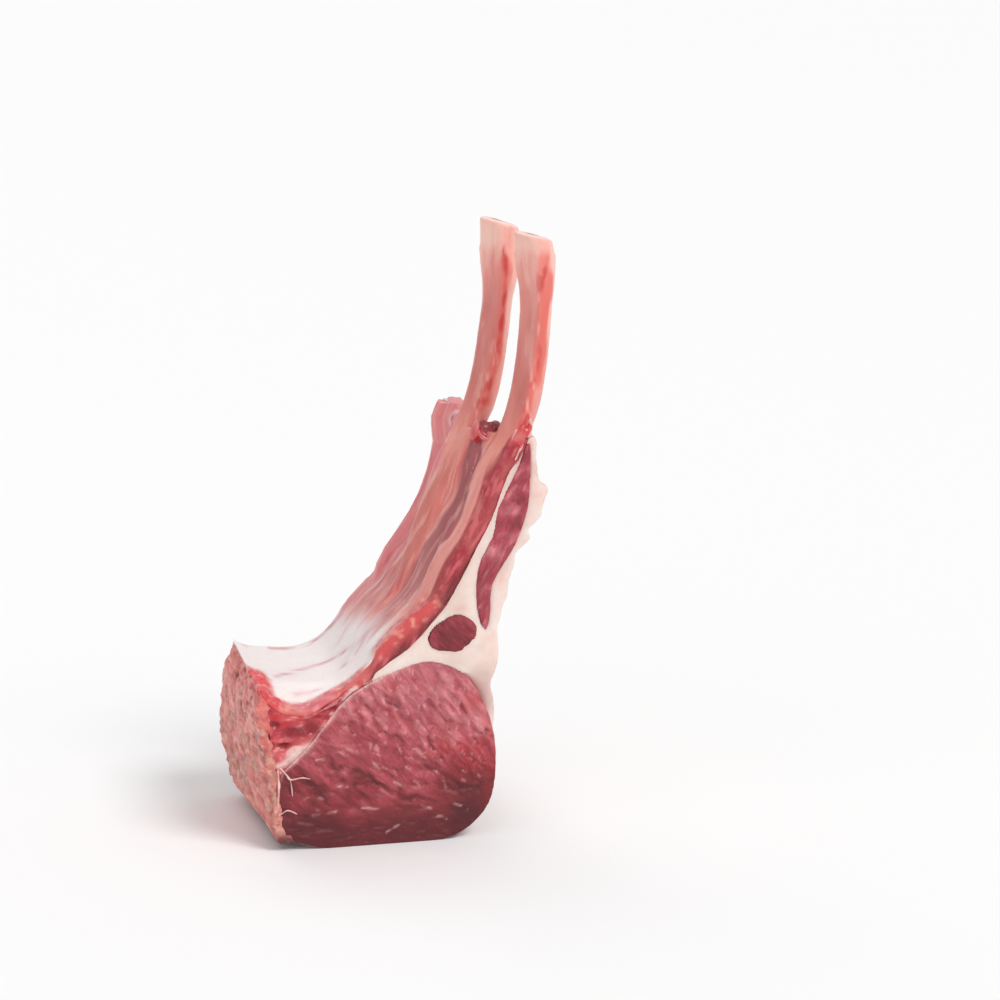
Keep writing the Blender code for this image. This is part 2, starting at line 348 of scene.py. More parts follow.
def patternNoise(material, place, size, stretch=(1.0, 1.0, 1.0), turn=(0.0, 0.0, 0.0), detail=3.0,
                 bend=0.0):
    # noise with features of the given size in millimetres, stretched and turned
    links = material.node_tree.links
    coords = linkNode(material, "ShaderNodeTexCoord", (place[0] - 600, place[1]))
    mapping = linkNode(material, "ShaderNodeMapping", (place[0] - 400, place[1]), vector_type="TEXTURE")
    mapping.inputs["Rotation"].default_value = [math.radians(angle) for angle in turn]
    mapping.inputs["Scale"].default_value = [value * size * mm for value in stretch]
    noise = linkNode(material, "ShaderNodeTexNoise", (place[0] - 200, place[1]))
    noise.inputs["Scale"].default_value = 1.0
    noise.inputs["Detail"].default_value = detail
    noise.inputs["Distortion"].default_value = bend
    links.new(coords.outputs["Object"], mapping.inputs["Vector"])
    links.new(mapping.outputs["Vector"], noise.inputs["Vector"])
    return noise.outputs["Fac"]


def patternStrokes(material, place, strokes):
    # short strokes along the grain, which lies flatter where the level mask is high
    noises = [patternNoise(material, (place[0], place[1] - 300 * number), strokes["width"],
                           (strokes["stretch"], 6.0, 1.0), (0.0, turn, 0.0), 2.0, strokes["bend"])
              for number, turn in enumerate(strokes["turns"])]
    level = linkNode(material, "ShaderNodeAttribute", (place[0], place[1] + 300), attribute_name="level")
    blend = linkNode(material, "ShaderNodeMix", (place[0] + 200, place[1]), data_type="FLOAT")
    links = material.node_tree.links
    links.new(level.outputs["Fac"], blend.inputs[0])
    links.new(noises[0], blend.inputs[2])
    links.new(noises[1], blend.inputs[3])
    sharp = linkNode(material, "ShaderNodeMapRange", (place[0] + 400, place[1]),
                     interpolation_type="SMOOTHSTEP")
    sharp.inputs["From Min"].default_value = 0.40
    sharp.inputs["From Max"].default_value = 0.62
    links.new(blend.outputs[0], sharp.inputs["Value"])
    # the strokes fade where the calm mask is high
    calm = linkNode(material, "ShaderNodeAttribute", (place[0] + 400, place[1] + 300), attribute_name="calm")
    faded = linkNode(material, "ShaderNodeMix", (place[0] + 600, place[1]), data_type="FLOAT")
    faded.inputs[3].default_value = 0.5
    links.new(calm.outputs["Fac"], faded.inputs[0])
    links.new(sharp.outputs["Result"], faded.inputs[2])
    return faded.outputs[0]


def fleshMaterial(look):
    # a ramp driven by a tone mask and fine grain, painted over with one colour for each mask
    material = bpy.data.materials.new(look["name"])
    material.use_nodes = True
    links = material.node_tree.links
    shader = material.node_tree.nodes["Principled BSDF"]
    grain = patternNoise(material, (-1200, 0), look["grainSize"], look.get("grainStretch", (1, 1, 1)),
                         look.get("grainTurn", (0, 0, 0)))
    fine = patternNoise(material, (-1200, -400), look["fineSize"], detail=2.0)
    tone = linkNode(material, "ShaderNodeAttribute", (-1400, 300), attribute_name="tone")
    shifted = multiplyAdd(material, (-1000, 200), grain, look["grainDepth"], tone.outputs["Fac"])
    centred = multiplyAdd(material, (-850, 200), shifted, 1.0, -0.5 * look["grainDepth"])
    ramp = linkNode(material, "ShaderNodeValToRGB", (-700, 200))
    stops = look["colours"]
    while len(ramp.color_ramp.elements) < len(stops):
        ramp.color_ramp.elements.new(0.5)
    for element, (position, colour) in zip(ramp.color_ramp.elements, stops):
        element.position = position
        element.color = paint(*colour)
    links.new(centred, ramp.inputs[0])
    colour = ramp.outputs[0]
    for number, (maskName, maskColour, strength) in enumerate(look["layers"]):
        mask = linkNode(material, "ShaderNodeAttribute", (-700, -200 * number - 200),
                        attribute_name=maskName)
        # the mask's edge breaks up with the fine grain
        rough = multiplyAdd(material, (-520, -200 * number - 200), fine, 0.5, 0.75)
        amount = linkNode(material, "ShaderNodeMath", (-360, -200 * number - 200),
                          operation="MULTIPLY")
        links.new(mask.outputs["Fac"], amount.inputs[0])
        links.new(rough, amount.inputs[1])
        scaled = multiplyAdd(material, (-200, -200 * number - 200), amount.outputs[0], strength, 0.0)
        colour = mixColour(material, (-20, 200 - 200 * number), scaled, colour, paint(*maskColour))
    height = multiplyAdd(material, (0, -500), fine, 0.4, grain)
    for number, size in enumerate(look.get("strokes", ())):
        strokes = patternStrokes(material, (-700, -2600 - 900 * number), size)
        strokeTone = multiplyAdd(material, (-100, -2600 - 900 * number), strokes, 2.0 * size["contrast"],
                                 1.0 - size["contrast"])
        colour = mixColour(material, (100, 400 + 200 * number), 1.0, colour, strokeTone, "MULTIPLY")
        height = multiplyAdd(material, (100, -700 - 200 * number), strokes, size["relief"], height)
    speckle = multiplyAdd(material, (160, -300), fine, look["fineDepth"], 1.0 - 0.5 * look["fineDepth"])
    colour = mixColour(material, (180, 200), 1.0, colour, speckle, "MULTIPLY")
    links.new(colour, shader.inputs["Base Color"])

    gloss = multiplyAdd(material, (180, -100), grain, look["roughness"][1] - look["roughness"][0],
                        look["roughness"][0])
    links.new(gloss, shader.inputs["Roughness"])
    bump = linkNode(material, "ShaderNodeBump", (180, -500))
    bump.inputs["Strength"].default_value = look["bump"]
    bump.inputs["Distance"].default_value = look["bumpDepth"] * mm
    links.new(height, bump.inputs["Height"])
    links.new(bump.outputs["Normal"], shader.inputs["Normal"])
    shader.inputs["Subsurface Weight"].default_value = look["subsurface"]
    shader.inputs["Subsurface Radius"].default_value = (1.0, 0.35, 0.2)
    shader.inputs["Subsurface Scale"].default_value = look["subsurfaceDepth"] * mm
    shader.inputs["IOR"].default_value = 1.4
    shader.inputs["Coat Weight"].default_value = look["coat"]
    shader.inputs["Coat Roughness"].default_value = look["coatRoughness"]
    return material


def finishPiece(piece, material, slotName, *nodeNames):
    piece.data.materials.clear()
    piece.data.materials.append(material)
    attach(piece, "root")
    if nodeNames:
        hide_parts(*nodeNames)
    print(f"{piece.name}: {len(piece.data.polygons) * 2} triangles")


# eye of the loin: the big round muscle, cut across its grain

eyeLook = {
    "name": "eyeMuscleFlesh",
    "colours": [(0.0, (84, 14, 22)), (0.32, (138, 40, 48)), (0.6, (178, 74, 82)), (1.0, (222, 138, 142))],
    "grainSize": 1.6, "grainDepth": 0.14,
    "fineSize": 0.35, "fineDepth": 0.14,
    "strokes": [{"width": 1.5, "stretch": 3.0, "turns": (50.0, 16.0), "bend": 0.8, "contrast": 0.12,
                 "relief": 0.9},
                {"width": 0.6, "stretch": 2.4, "turns": (44.0, 20.0), "bend": 0.6, "contrast": 0.05,
                 "relief": 0.2}],
    "layers": [
        # painted shade along the bottom of the eye
        ("eyeBottomShade", (88, 16, 24), 0.8),
        ("mauve", (180, 98, 112), 0.5),
        ("scarlet", (178, 40, 48), 0.5),
        # painted shade in the creases, along the fold edges and under each flake
        ("shadedCrease", (84, 12, 20), 0.85),
        ("glint", (240, 176, 178), 0.8),
        ("sinew", (238, 190, 186), 0.85),
    ],
    "roughness": (0.22, 0.42), "bump": 0.7, "bumpDepth": 0.4,
    "subsurface": 0.10, "subsurfaceDepth": 0.8, "coat": 0.3, "coatRoughness": 0.12,
}

eyeShape = {
    "swell": 0.24, "voxel": 0.46, "relax": 1,
    # the grain's direction high up, in the middle and low down
    "turns": (-57.0, -36.0, -12.0),
    # length, width and depth of its folds, flakes and threads
    "folds": (9.0, 3.2, 0.75), "flakes": (4.4, 1.5, 0.36), "threads": (2.4, 0.95, 0.14),
    "rimDrop": 0.12, "domeRise": 0.05, "domeReach": 9.0,
    # rounded lumps of muscle in the upper part: how many, how long, wide and high
    "cobbles": {"count": 260, "length": (1.3, 3.2), "width": (0.8, 1.5), "rise": 0.70,
                "x": (-20.0, 27.0), "z": (16.0, 54.0)},
    "scarlet": [(20.0, 26.0, 7.0, 7.0), (21.3, 42.5, 3.0, 2.0), (-3.5, 49.0, 2.6, 2.2),
                (12.3, 29.2, 4.2, 2.0)],
    "mauve": [(11.0, 53.5, 7.0, 2.2), (5.0, 42.0, 5.0, 4.5)],
    "creases": [[(-18, 24), (-9, 19.5), (-1, 15), (9, 12.6), (20, 10)],
                [(4, 28), (10, 21), (17, 16)],
                [(-24, 28), (-17, 23), (-11, 21)],
                [(-7, 47), (-2, 41), (3, 37)]],
    # white marbling: short streaks in the lower half
    "marbling": [[(-30.1, 15.9), (-25.1, 16.0)], [(-20.6, 19.8), (-17.1, 18.8)], [(-12.7, 12), (-7.7, 11.1)],
                 [(-27.7, 10.5), (-20.7, 11.0)], [(-27.4, 28), (-23.5, 27.2)], [(-3.1, 19.6), (0.9, 17.2)],
                 [(-5.7, 3.7), (-1.7, 6)], [(-15.5, 31.7), (-13, 30)], [(8, 8), (13, 6.6)],
                 [(3, 13), (8, 10)], [(14, 11.5), (19, 9)], [(-10, 26), (-7, 23.6)]],
}


def grainStrokes(x, z, turns, weights, size, seed):
    # noise drawn out along the grain, whose direction changes from place to place
    length, width = size[:2]
    total = np.zeros(x.shape)
    for number, (turn, weight) in enumerate(zip(turns, weights)):
        angle = math.radians(turn)
        along = (x * math.cos(angle) + z * math.sin(angle)) / length
        across = (z * math.cos(angle) - x * math.sin(angle)) / width
        total += weight * softNoise(along, 3.0 * number, across, seed)
    return total / np.sqrt(sum(weight ** 2 for weight in weights))


def layCobbles(x, z, setup, seed):
    # lumps that lie along the grain: how high each point stands on its lump, and how far up its side it is
    draw = np.random.default_rng(seed)
    height = np.zeros(len(x))
    upward = np.zeros(len(x))
    for number in range(setup["count"]):
        middleX, middleZ = draw.uniform(*setup["x"]), draw.uniform(*setup["z"])
        turn = np.interp(middleZ + 0.35 * middleX, (10.0, 24.0, 38.0), (-14.0, -36.0, -57.0))
        angle = math.radians(turn + draw.uniform(-22.0, 22.0))
        length, width = draw.uniform(*setup["length"]), draw.uniform(*setup["width"])
        tall = draw.uniform(0.5, 1.0)
        if middleZ + 0.25 * middleX < draw.uniform(14.0, 36.0):
            continue
        aside, above = x - middleX, z - middleZ
        along = (aside * math.cos(angle) + above * math.sin(angle)) / length
        across = (above * math.cos(angle) - aside * math.sin(angle)) / width
        stand = tall * np.sqrt(np.maximum(1.0 - along ** 2 - across ** 2, 0.0))
        higher = stand > height
        height = np.where(higher, stand, height)
        upward = np.where(higher, across, upward)
    return height, upward


def makeEyeMuscle():
    shape = eyeShape
    piece = skinOver("eyeMuscle", "eye_muscle", shape["swell"], shape["voxel"], shape["relax"])
    points, normals = readSkin(piece)
    x, y, z = toSection(points)
    isCut, distance = cutFaces(points, normals)
    side = 1.0 - isCut

    wander = 1.2 * softNoise(x / 9.0, 2.0, z / 9.0, 7)
    highUp = ease(24.0, 38.0, z + 0.35 * x)
    lowDown = ease(20.0, 8.0, z - 0.10 * x)
    weights = (highUp, np.clip(1.0 - highUp - lowDown, 0.05, 1.0), lowDown)
    turns = shape["turns"]
    folds, flakes, threads = [grainStrokes(x + wander, z - wander, turns, weights, shape[scale], seed)
                              for scale, seed in (("folds", 11), ("flakes", 23), ("threads", 35))]
    lively = (0.45 + 0.55 * ease(-0.4, 0.3, softNoise(x / 9.0, 4.0, z / 9.0, 11))) * (1.0 - 0.55 * lowDown)
    lively *= ease(0.3, 2.5, distance)
    beside = grainStrokes(x + wander + 0.3, z - wander + 0.4, turns, weights, shape["folds"], 11)
    slant = np.maximum(np.abs(beside - folds) / 0.5, 0.12)
    foldDistance = np.abs(folds) / slant
    rounded = 1.0 - np.exp(-foldDistance / 0.9)
    shadedCrease = np.zeros(len(points))
    for number, line in enumerate(shape["creases"]):
        wobble = 1.1 * softNoise(x / 3.5, number, z / 3.5, 21)
        far = nearestLine(x + wobble, z + wobble, line)
        strength = 0.35 + 0.65 * ease(-0.2, 0.4, softNoise(x / 4.0, number, z / 4.0, 25))
        shadedCrease = np.maximum(shadedCrease, strength * np.exp(-(far / 0.7) ** 2))
    relief = lively * (shape["folds"][2] * (rounded - 0.6) + shape["flakes"][2] * flakes
                       + shape["threads"][2] * threads)
    relief += 0.3 * softNoise(x / 7.0, 1.0, z / 7.0, 5) - 0.35 * shadedCrease
    bent = 0.5 * softNoise(x / 2.0, 3.0, z / 2.0, 13)
    cobbles, upward = layCobbles(x + bent, z + bent, shape["cobbles"], 5)
    relief = relief * (1.0 - 0.35 * ease(0.0, 0.3, cobbles)) + shape["cobbles"]["rise"] * (cobbles - 0.3)
    relief *= ease(0.0, 1.6, distance)
    domeCut(points, isCut, distance, shape["rimDrop"], shape["domeRise"], shape["domeReach"])
    points[:, 1] += np.sign(y) * relief * isCut

    # round the side the grain runs along the backbone
    stretched = layeredNoise(points, 2.4, 31, 3, (1.0, 7.0, 1.0))
    lumpy = layeredNoise(points, 12.0, 37, 2, (1.0, 2.0, 1.0))
    points += normals * (side * (0.18 * stretched + 0.35 * lumpy))[:, None]
    points[:, 2] = np.maximum(points[:, 2], low[2] + 0.02)
    writeSkin(piece, points)

    # the tone is painted darker low down, as painted shade where the cut curves under, and lighter towards
    # the top
    tone = 0.36 + 0.26 * ease(8.0, 36.0, z) + 0.08 * ease(-4.0, 12.0, x) * ease(12.0, 24.0, z)
    tone -= 0.12 * ease(-14.0, -28.0, x) * ease(30.0, 20.0, z)
    tone -= 0.34 * ease(8.0, 20.0, x) * ease(30.0, 16.0, z)
    tone += 0.10 * ease(2.0, -6.0, x) * ease(36.0, 46.0, z)
    # raised flakes and cobbles are painted lighter and the ground between them darker, as painted light and
    # shade
    tone += (0.12 * (rounded - 0.6) + 0.16 * flakes + 0.08 * threads) * isCut * (0.4 + 0.6 * lively)
    tone += 0.08 * softNoise(x / 6.0, 2.0, z / 6.0, 41) + side * (0.16 * stretched - 0.05)
    between = np.exp(-((cobbles - 0.05) / 0.11) ** 2) * (cobbles > 0.0) * ease(16.0, 30.0, z + 0.25 * x)
    tone += isCut * 0.12 * (cobbles - 0.30) * ease(16.0, 30.0, z)
    setMask(piece, "tone", tone - 0.03 - 0.05 * ease(-16.0, -26.0, x))
    setMask(piece, "level", lowDown)
    setMask(piece, "calm", 0.15 + 0.5 * lowDown)
    border = np.exp(-(foldDistance / 0.42) ** 2) * ease(-0.4, 0.2, softNoise(x / 5.0, 5.0, z / 5.0, 43))
    # painted highlight on the upper edge of each flake, where wet light would catch it, and painted shade on
    # its lower edge
    above = [grainStrokes(x + wander - 0.25, z - wander + 0.45, turns, weights, shape[scale], seed)
             for scale, seed in (("flakes", 23), ("threads", 35))]
    slope = (flakes - above[0]) + 0.5 * (threads - above[1])
    glint = lively * ease(0.22, 0.60, slope) * (0.35 + 0.65 * ease(6.0, 26.0, z)) * 0.7
    # patches where the painted highlight shows
    glintPatch = ease(-0.2, 0.5, softNoise(x / 1.5, 7.0, z / 1.5, 53))
    lit = ease(0.0, 0.55, upward) * ease(0.02, 0.3, cobbles) * ease(1.0, 0.6, cobbles) * glintPatch
    setMask(piece, "glint", isCut * np.maximum(glint * 0.9, lit * 0.5) * ease(0.5, 1.5, distance))
    shadow = lively * ease(0.25, 0.7, -slope) * 0.4
    shadow = np.maximum(shadow, between * ease(-0.4, 0.4, softNoise(x / 3.0, 9.0, z / 3.0, 55)) * 0.5)
    # painted shade: fold edges, the drawn creases, the lower edge of each flake and the ground between the
    # lumps
    setMask(piece, "shadedCrease", np.maximum.reduce([border * lively * 0.8, shadedCrease * 0.8, shadow]) * isCut)
    fascia = np.exp(-(distance / (0.8 + 0.4 * softNoise(x / 2.5, 8.0, z / 2.5, 48))) ** 2) * isCut
    fascia *= ease(8.0, -6.0, x) * ease(20.0, 27.0, z)
    marbling = np.zeros(len(points))
    for number, line in enumerate(shape["marbling"]):
        wobble = 0.4 * softNoise(x / 1.6, number, z / 1.6, 45)
        far = nearestLine(x + wobble, z + wobble, line)
        marbling = np.maximum(marbling, np.exp(-(far / 0.32) ** 2) * 0.65)
    marbling *= ease(-0.3, 0.5, softNoise(x / 1.3, 6.0, z / 1.3, 46))
    sides = side * (0.25 + 0.5 * ease(0.0, 0.5, layeredNoise(points, 9.0, 47, 2, (1.0, 2.5, 1.0))))
    setMask(piece, "sinew", np.maximum.reduce([marbling * isCut, fascia, sides]))
    # painted shade along the bottom of the eye, where the cut curves under towards the floor, stronger to the
    # left
    bottomShade = ease(14.0, 1.0, z + 2.0 * softNoise(x / 8.0, 0.0, z / 8.0, 49))
    setMask(piece, "eyeBottomShade", bottomShade * (1.2 + 0.6 * ease(-10.0, -26.0, x)))
    bent *= 2.0
    setMask(piece, "mauve", isCut * patches(x + bent, z + bent, shape["mauve"]))
    red = np.maximum(patches(x + bent, z - bent, shape["scarlet"]),
                     0.6 * ease(21.0, 27.0, x) * band(z, 4.0, 26.0, 5.0))
    setMask(piece, "scarlet", isCut * red)
    finishPiece(piece, fleshMaterial(eyeLook), "eye_muscle", "eye_muscle")


# small muscles in the fat: the round one over the eye and the long strip along the ribs

smallMuscleLook = {
    "name": "smallMuscleFlesh",
    "colours": [(0.0, (84, 14, 24)), (0.4, (136, 40, 52)), (0.7, (174, 66, 80)), (1.0, (216, 130, 138))],
    "grainSize": 1.6, "grainDepth": 0.2, "fineSize": 0.35, "fineDepth": 0.14,
    "strokes": [{"width": 1.1, "stretch": 3.2, "turns": (46.0, -66.0), "bend": 0.7, "contrast": 0.12,
                 "relief": 0.9},
                {"width": 0.5, "stretch": 2.6, "turns": (52.0, -62.0), "bend": 0.5, "contrast": 0.04,
                 "relief": 0.2}],
    "layers": [
        # painted shade along the folds, and a painted highlight on the upper edge of each flake
        ("shadedCrease", (84, 14, 26), 0.75),
        ("glint", (224, 138, 146), 0.6),
    ],
    "roughness": (0.26, 0.46), "bump": 0.6, "bumpDepth": 0.35,
    "subsurface": 0.12, "subsurfaceDepth": 1.0, "coat": 0.25, "coatRoughness": 0.15,
}

smallMuscleSkin = {"swell": 0.38, "voxel": 0.40, "relax": 2}

smallMuscleShapes = {
    # the level mask turns the strokes along the strip
    "capMuscle": {"node": "cap_muscle", "turns": (-46.0,), "level": 0.0, "toneShift": -0.02, "seed": 61},
    "stripMuscle": {"node": "strip_muscle", "turns": (66.0,), "level": 1.0, "toneShift": 0.20, "seed": 67,
                    # height and place of its middle line, and how far it widens to each side
                    "middle": [(64.0, 24.7), (74.0, 23.6), (85.0, 26.0), (93.0, 30.0), (101.0, 33.0),
                               (110.7, 35.6), (117.0, 36.4)], "widen": (2.6, 1.0)},
}


def makeSmallMuscles():
    material = fleshMaterial(smallMuscleLook)
    for pieceName, shape in smallMuscleShapes.items():
        piece = skinOver(pieceName, shape["node"], **smallMuscleSkin)
        points, normals = readSkin(piece)
        x, y, z = toSection(points)
        isCut, distance = cutFaces(points, normals)
        seed = shape["seed"]
        folds = grainStrokes(x, z, shape["turns"], (1.0,), (7.0, 2.2), seed)
        flakes = grainStrokes(x, z, shape["turns"], (1.0,), (3.4, 1.1), seed + 5)
        above = grainStrokes(x - 0.2, z + 0.4, shape["turns"], (1.0,), (3.4, 1.1), seed + 5)
        domeCut(points, isCut, distance, 0.15, 0.15)
        if "widen" in shape:
            middleZ, middleX = np.array(shape["middle"]).T
            aside = np.clip((x - np.interp(z, middleZ, middleX)) / 1.8, -1.0, 1.0)
            toLeft = shape["widen"][0] * band(z, 84.0, 110.0, 8.0)
            toRight = shape["widen"][1] * band(z, 80.0, 104.0, 6.0)
            points[:, 0] += np.where(aside < 0.0, toLeft, toRight) * aside
        points[:, 1] += np.sign(y) * isCut * (0.30 * np.abs(folds) + 0.22 * flakes + 0.05
                                              + 0.15 * softNoise(x / 4.0, 0.0, z / 4.0, seed))
        writeSkin(piece, points)
        setMask(piece, "tone", 0.48 + shape["toneShift"] + 0.14 * flakes
                + 0.14 * softNoise(x / 4.0, 2.0, z / 4.0, seed + 2))
        setMask(piece, "level", np.full(len(points), shape["level"]))
        # painted shade along the fold lines, and a painted highlight on the upper edge of each flake
        setMask(piece, "shadedCrease", ease(0.16, 0.02, np.abs(folds)) * isCut * 0.45)
        setMask(piece, "glint", ease(0.25, 0.7, flakes - above) * isCut)
        finishPiece(piece, material, "muscle", shape["node"])


# fat cover

fatLook = {
    "name": "creamFat",
    "colours": [(0.0, (214, 176, 166)), (0.4, (236, 212, 202)), (0.7, (243, 229, 220)),
                (1.0, (250, 243, 236))],
    "grainSize": 2.4, "grainDepth": 0.3,
    "fineSize": 0.6, "fineDepth": 0.05,
    "layers": [
        ("blush", (236, 168, 158), 0.5),
        ("stain", (222, 108, 116), 0.65),
        ("shade", (190, 158, 148), 0.5),
    ],
    "roughness": (0.32, 0.5), "bump": 0.25, "bumpDepth": 0.3,
    "subsurface": 0.25, "subsurfaceDepth": 2.4, "coat": 0.12, "coatRoughness": 0.25,
}

fatShape = {
    "swell": 0.3, "voxel": 0.6, "relax": 2, "rimDrop": 0.2, "domeRise": 0.2,
    # where low ridges run up its outer side
    "ridgeMiddles": (-22.0, -5.0, 13.0), "ridgeWidth": 3.6, "ridgeRise": 0.8,
    # its lower end beside the eye, how far it draws back from both cuts, and how much it curves
    "tailEnd": 19.0, "tailDrawBack": 9.0, "tailCurve": 9.0, "tailHalfDepth": 20.0,
    # it laps over the rims of the muscles in the cuts: how wide, and how high it lies there
    "lap": 0.55, "lapHeight": 28.75,
    # pink blotches in the front cut: x, z, and how wide and high
    "pinks": [(37.5, 112.0, 1.6, 4.0), (40.0, 104.0, 2.2, 2.0), (33.0, 90.0, 1.2, 4.0),
              (29.5, 80.0, 1.6, 3.5), (26.0, 62.0, 3.0, 2.0), (17.0, 71.5, 2.4, 0.8),
              (23.0, 73.0, 0.8, 3.0), (27.5, 46.0, 1.2, 4.0)],
    # the torn outer edge in the front cut, from the top down
    "edge": [(40.4, 122.1), (40.7, 118.2), (40.5, 113.7), (41.1, 109.7), (42.2, 107.4), (43.8, 106.4),
             (43.4, 104.5), (42.0, 100.7), (41.7, 97.6), (38.6, 94.2), (39.4, 91.4), (37.2, 89.4),
             (34.8, 87.1), (33.8, 82.9), (32.6, 78.7), (32.0, 74.4), (30.8, 71.5), (29.9, 67.8),
             (29.0, 64.2), (28.9, 56.5)],
}


def makeFatCover():
    shape = fatShape
    piece = skinOver("fatCover", "fat_cover", shape["swell"], shape["voxel"], shape["relax"])
    points, normals = readSkin(piece)
    x, y, z = toSection(points)
    isCut, distance = cutFaces(points, normals)
    domeCut(points, isCut, distance, shape["rimDrop"], shape["domeRise"])
    big = layeredNoise(points, 9.0, 71, 3)
    fine = layeredNoise(points, 2.2, 73, 2)
    points += normals * ((0.28 + 0.2 * (1.0 - isCut)) * big + 0.07 * fine)[:, None]
    # the outer side is lumpy and finely wrinkled
    outside = (1.0 - isCut) * ease(0.2, 0.7, normals[:, 0])
    wrinkles = np.abs(layeredNoise(points, 6.5, 93, 2, (1.0, 0.7, 1.8)))
    points += normals * (outside * (0.8 * layeredNoise(points, 13.0, 79, 3)
                                    - 0.25 * np.exp(-(wrinkles / 0.10) ** 2)))[:, None]
    thin = ease(38.0, 16.0, points[:, 2]) * ease(-0.2, 0.5, normals[:, 0])
    points[:, 0] -= 1.6 * thin
    # it draws back from both cuts beside the eye
    drawBack = np.sign(y) * shape["tailDrawBack"] * ease(56.0, 32.0, z)
    drawBack *= ease(4.0, 27.0, np.abs(y))
    drawBack *= ease(12.0, 22.0, x)
    points[:, 1] -= drawBack
    tailEnd = shape["tailEnd"] + shape["tailCurve"] * (np.abs(points[:, 1]) / shape["tailHalfDepth"]) ** 3
    # its lower end is short and wavy, and it dips beside the muscles
    points[:, 2] += 0.85 * np.maximum(tailEnd - points[:, 2], 0.0)
    points[:, 2] += ease(28.0, 18.0, z) * 1.4 * softNoise(y / 5.0, 1.0, 0.0, 81)
    meat = distanceTo(points, ["eye_muscle", "cap_muscle", "rib_meat_0"])
    strip = distanceTo(points, ["strip_muscle"])
    dip = 0.10 * np.exp(-(meat / 1.0) ** 2) + 0.42 * np.exp(-(strip / 3.2) ** 2)
    points[:, 1] -= np.sign(y) * dip * isCut
    lap = np.exp(-(meat / 0.9) ** 2) * ease(27.2, 28.0, np.abs(y)) * ease(1.0, 2.5, strip)
    points[:, 0] += shape["lap"] * lap * normals[:, 0]
    points[:, 2] += shape["lap"] * lap * normals[:, 2]
    points[:, 1] += np.sign(y) * lap * np.maximum(shape["lapHeight"] - np.abs(points[:, 1]), 0.0)
    # three low ridges run up the outer side
    ridges = sum(np.exp(-((y - middle) / shape["ridgeWidth"]) ** 2) for middle in shape["ridgeMiddles"])
    points += normals * (outside * shape["ridgeRise"] * ridges * ease(58.0, 78.0, z))[:, None]
    # the front edge follows its torn line
    edgeX, edgeZ = smoothLine(shape["edge"][::-1], 4).T
    steps = np.arange(edgeZ[0], edgeZ[-1], 1.0)
    atFront = y < frontY + 4.0
    reached = np.array([x[atFront & (np.abs(z - step) < 1.0)].max() for step in steps])
    outerX = np.interp(z, steps, reached)
    pull = np.clip(np.interp(z, edgeZ, edgeX) - outerX, -2.2, 1.6)
    pull *= ease(4.5, 0.5, outerX - x) * ease(-8.0, -22.0, y)
    points[:, 0] += pull * ease(edgeZ[0], edgeZ[0] + 6.0, z) * ease(edgeZ[-1] + 1.0, edgeZ[-1] - 4.0, z)
    writeSkin(piece, points)
    meat = np.minimum(meat, strip)
    setMask(piece, "tone", 0.55 + 0.22 * big + 0.06 * fine - 0.05 * ease(60.0, 110.0, z))
    blush = ease(-0.2, 0.7, layeredNoise(points, 15.0, 83, 4)) * (0.35 + 0.4 * outside)
    veins = np.abs(layeredNoise(points, 14.0, 85, 3, (1.0, 0.6, 1.6)))
    blush = np.maximum(blush, outside * 0.7 * np.exp(-(veins / 0.022) ** 2))
    blush = np.maximum(blush, 0.35 * ease(80.0, 116.0, z))
    blush = np.maximum(blush, 0.8 * ease(26.0, 16.0, z) * isCut)
    ragged = 1.0 * softNoise(x / 2.0, 0.0, z / 3.0, 91)
    blush = np.maximum(blush, patches(x + ragged, z + ragged, shape["pinks"]) * isCut * (0.8 + 0.4 * fine))
    setMask(piece, "blush", blush)
    setMask(piece, "stain", np.exp(-(meat / 0.55) ** 2) * (0.5 + 0.4 * fine) * isCut)
    setMask(piece, "shade", ease(0.0, 0.5, layeredNoise(points, 8.0, 89, 2)) * 0.5)
    finishPiece(piece, fleshMaterial(fatLook), "fat", "fat_cover")


# wall of the ribs: meat between the bones and the membrane over the hollow side

wallLook = {
    "name": "ribWallMembrane",
    "colours": [(0.0, (182, 84, 86)), (0.4, (214, 124, 120)), (0.7, (228, 148, 140)), (1.0, (248, 200, 190))],
    "grainSize": 1.3, "grainStretch": (1.0, 0.6, 5.0), "grainTurn": (0, 28, 0), "grainDepth": 0.4,
    "fineSize": 0.5, "fineDepth": 0.1,
    "layers": [
        ("tan", (212, 120, 108), 0.8),
        ("magenta", (232, 130, 138), 0.65),
        ("orange", (230, 116, 104), 0.6),
        ("purple", (136, 56, 68), 0.85),
        ("palePink", (232, 154, 144), 0.8),
        ("lightLine", (242, 192, 180), 0.75),
        ("paleThreads", (238, 178, 168), 0.5),
        ("roseThreads", (186, 84, 94), 0.5),
        ("lining", (249, 240, 238), 0.97),
        ("streak", (206, 120, 140), 0.8),
        ("redMeat", (162, 36, 50), 0.97),
        ("palePatch", (226, 116, 122), 0.75),
        ("darkMeat", (84, 14, 22), 0.9),
        ("coral", (212, 82, 82), 0.92),
        ("lipRed", (222, 44, 58), 0.8),
        ("lipPink", (214, 112, 130), 0.7),
        ("glint", (246, 176, 160), 0.6),
        ("boneTone", (234, 150, 136), 0.85),
        ("ring", (240, 186, 184), 0.8),
        ("marrow", (166, 66, 84), 0.8),
    ],
    "roughness": (0.24, 0.46), "bump": 0.35, "bumpDepth": 0.3,
    "subsurface": 0.15, "subsurfaceDepth": 1.2, "coat": 0.25, "coatRoughness": 0.16,
}

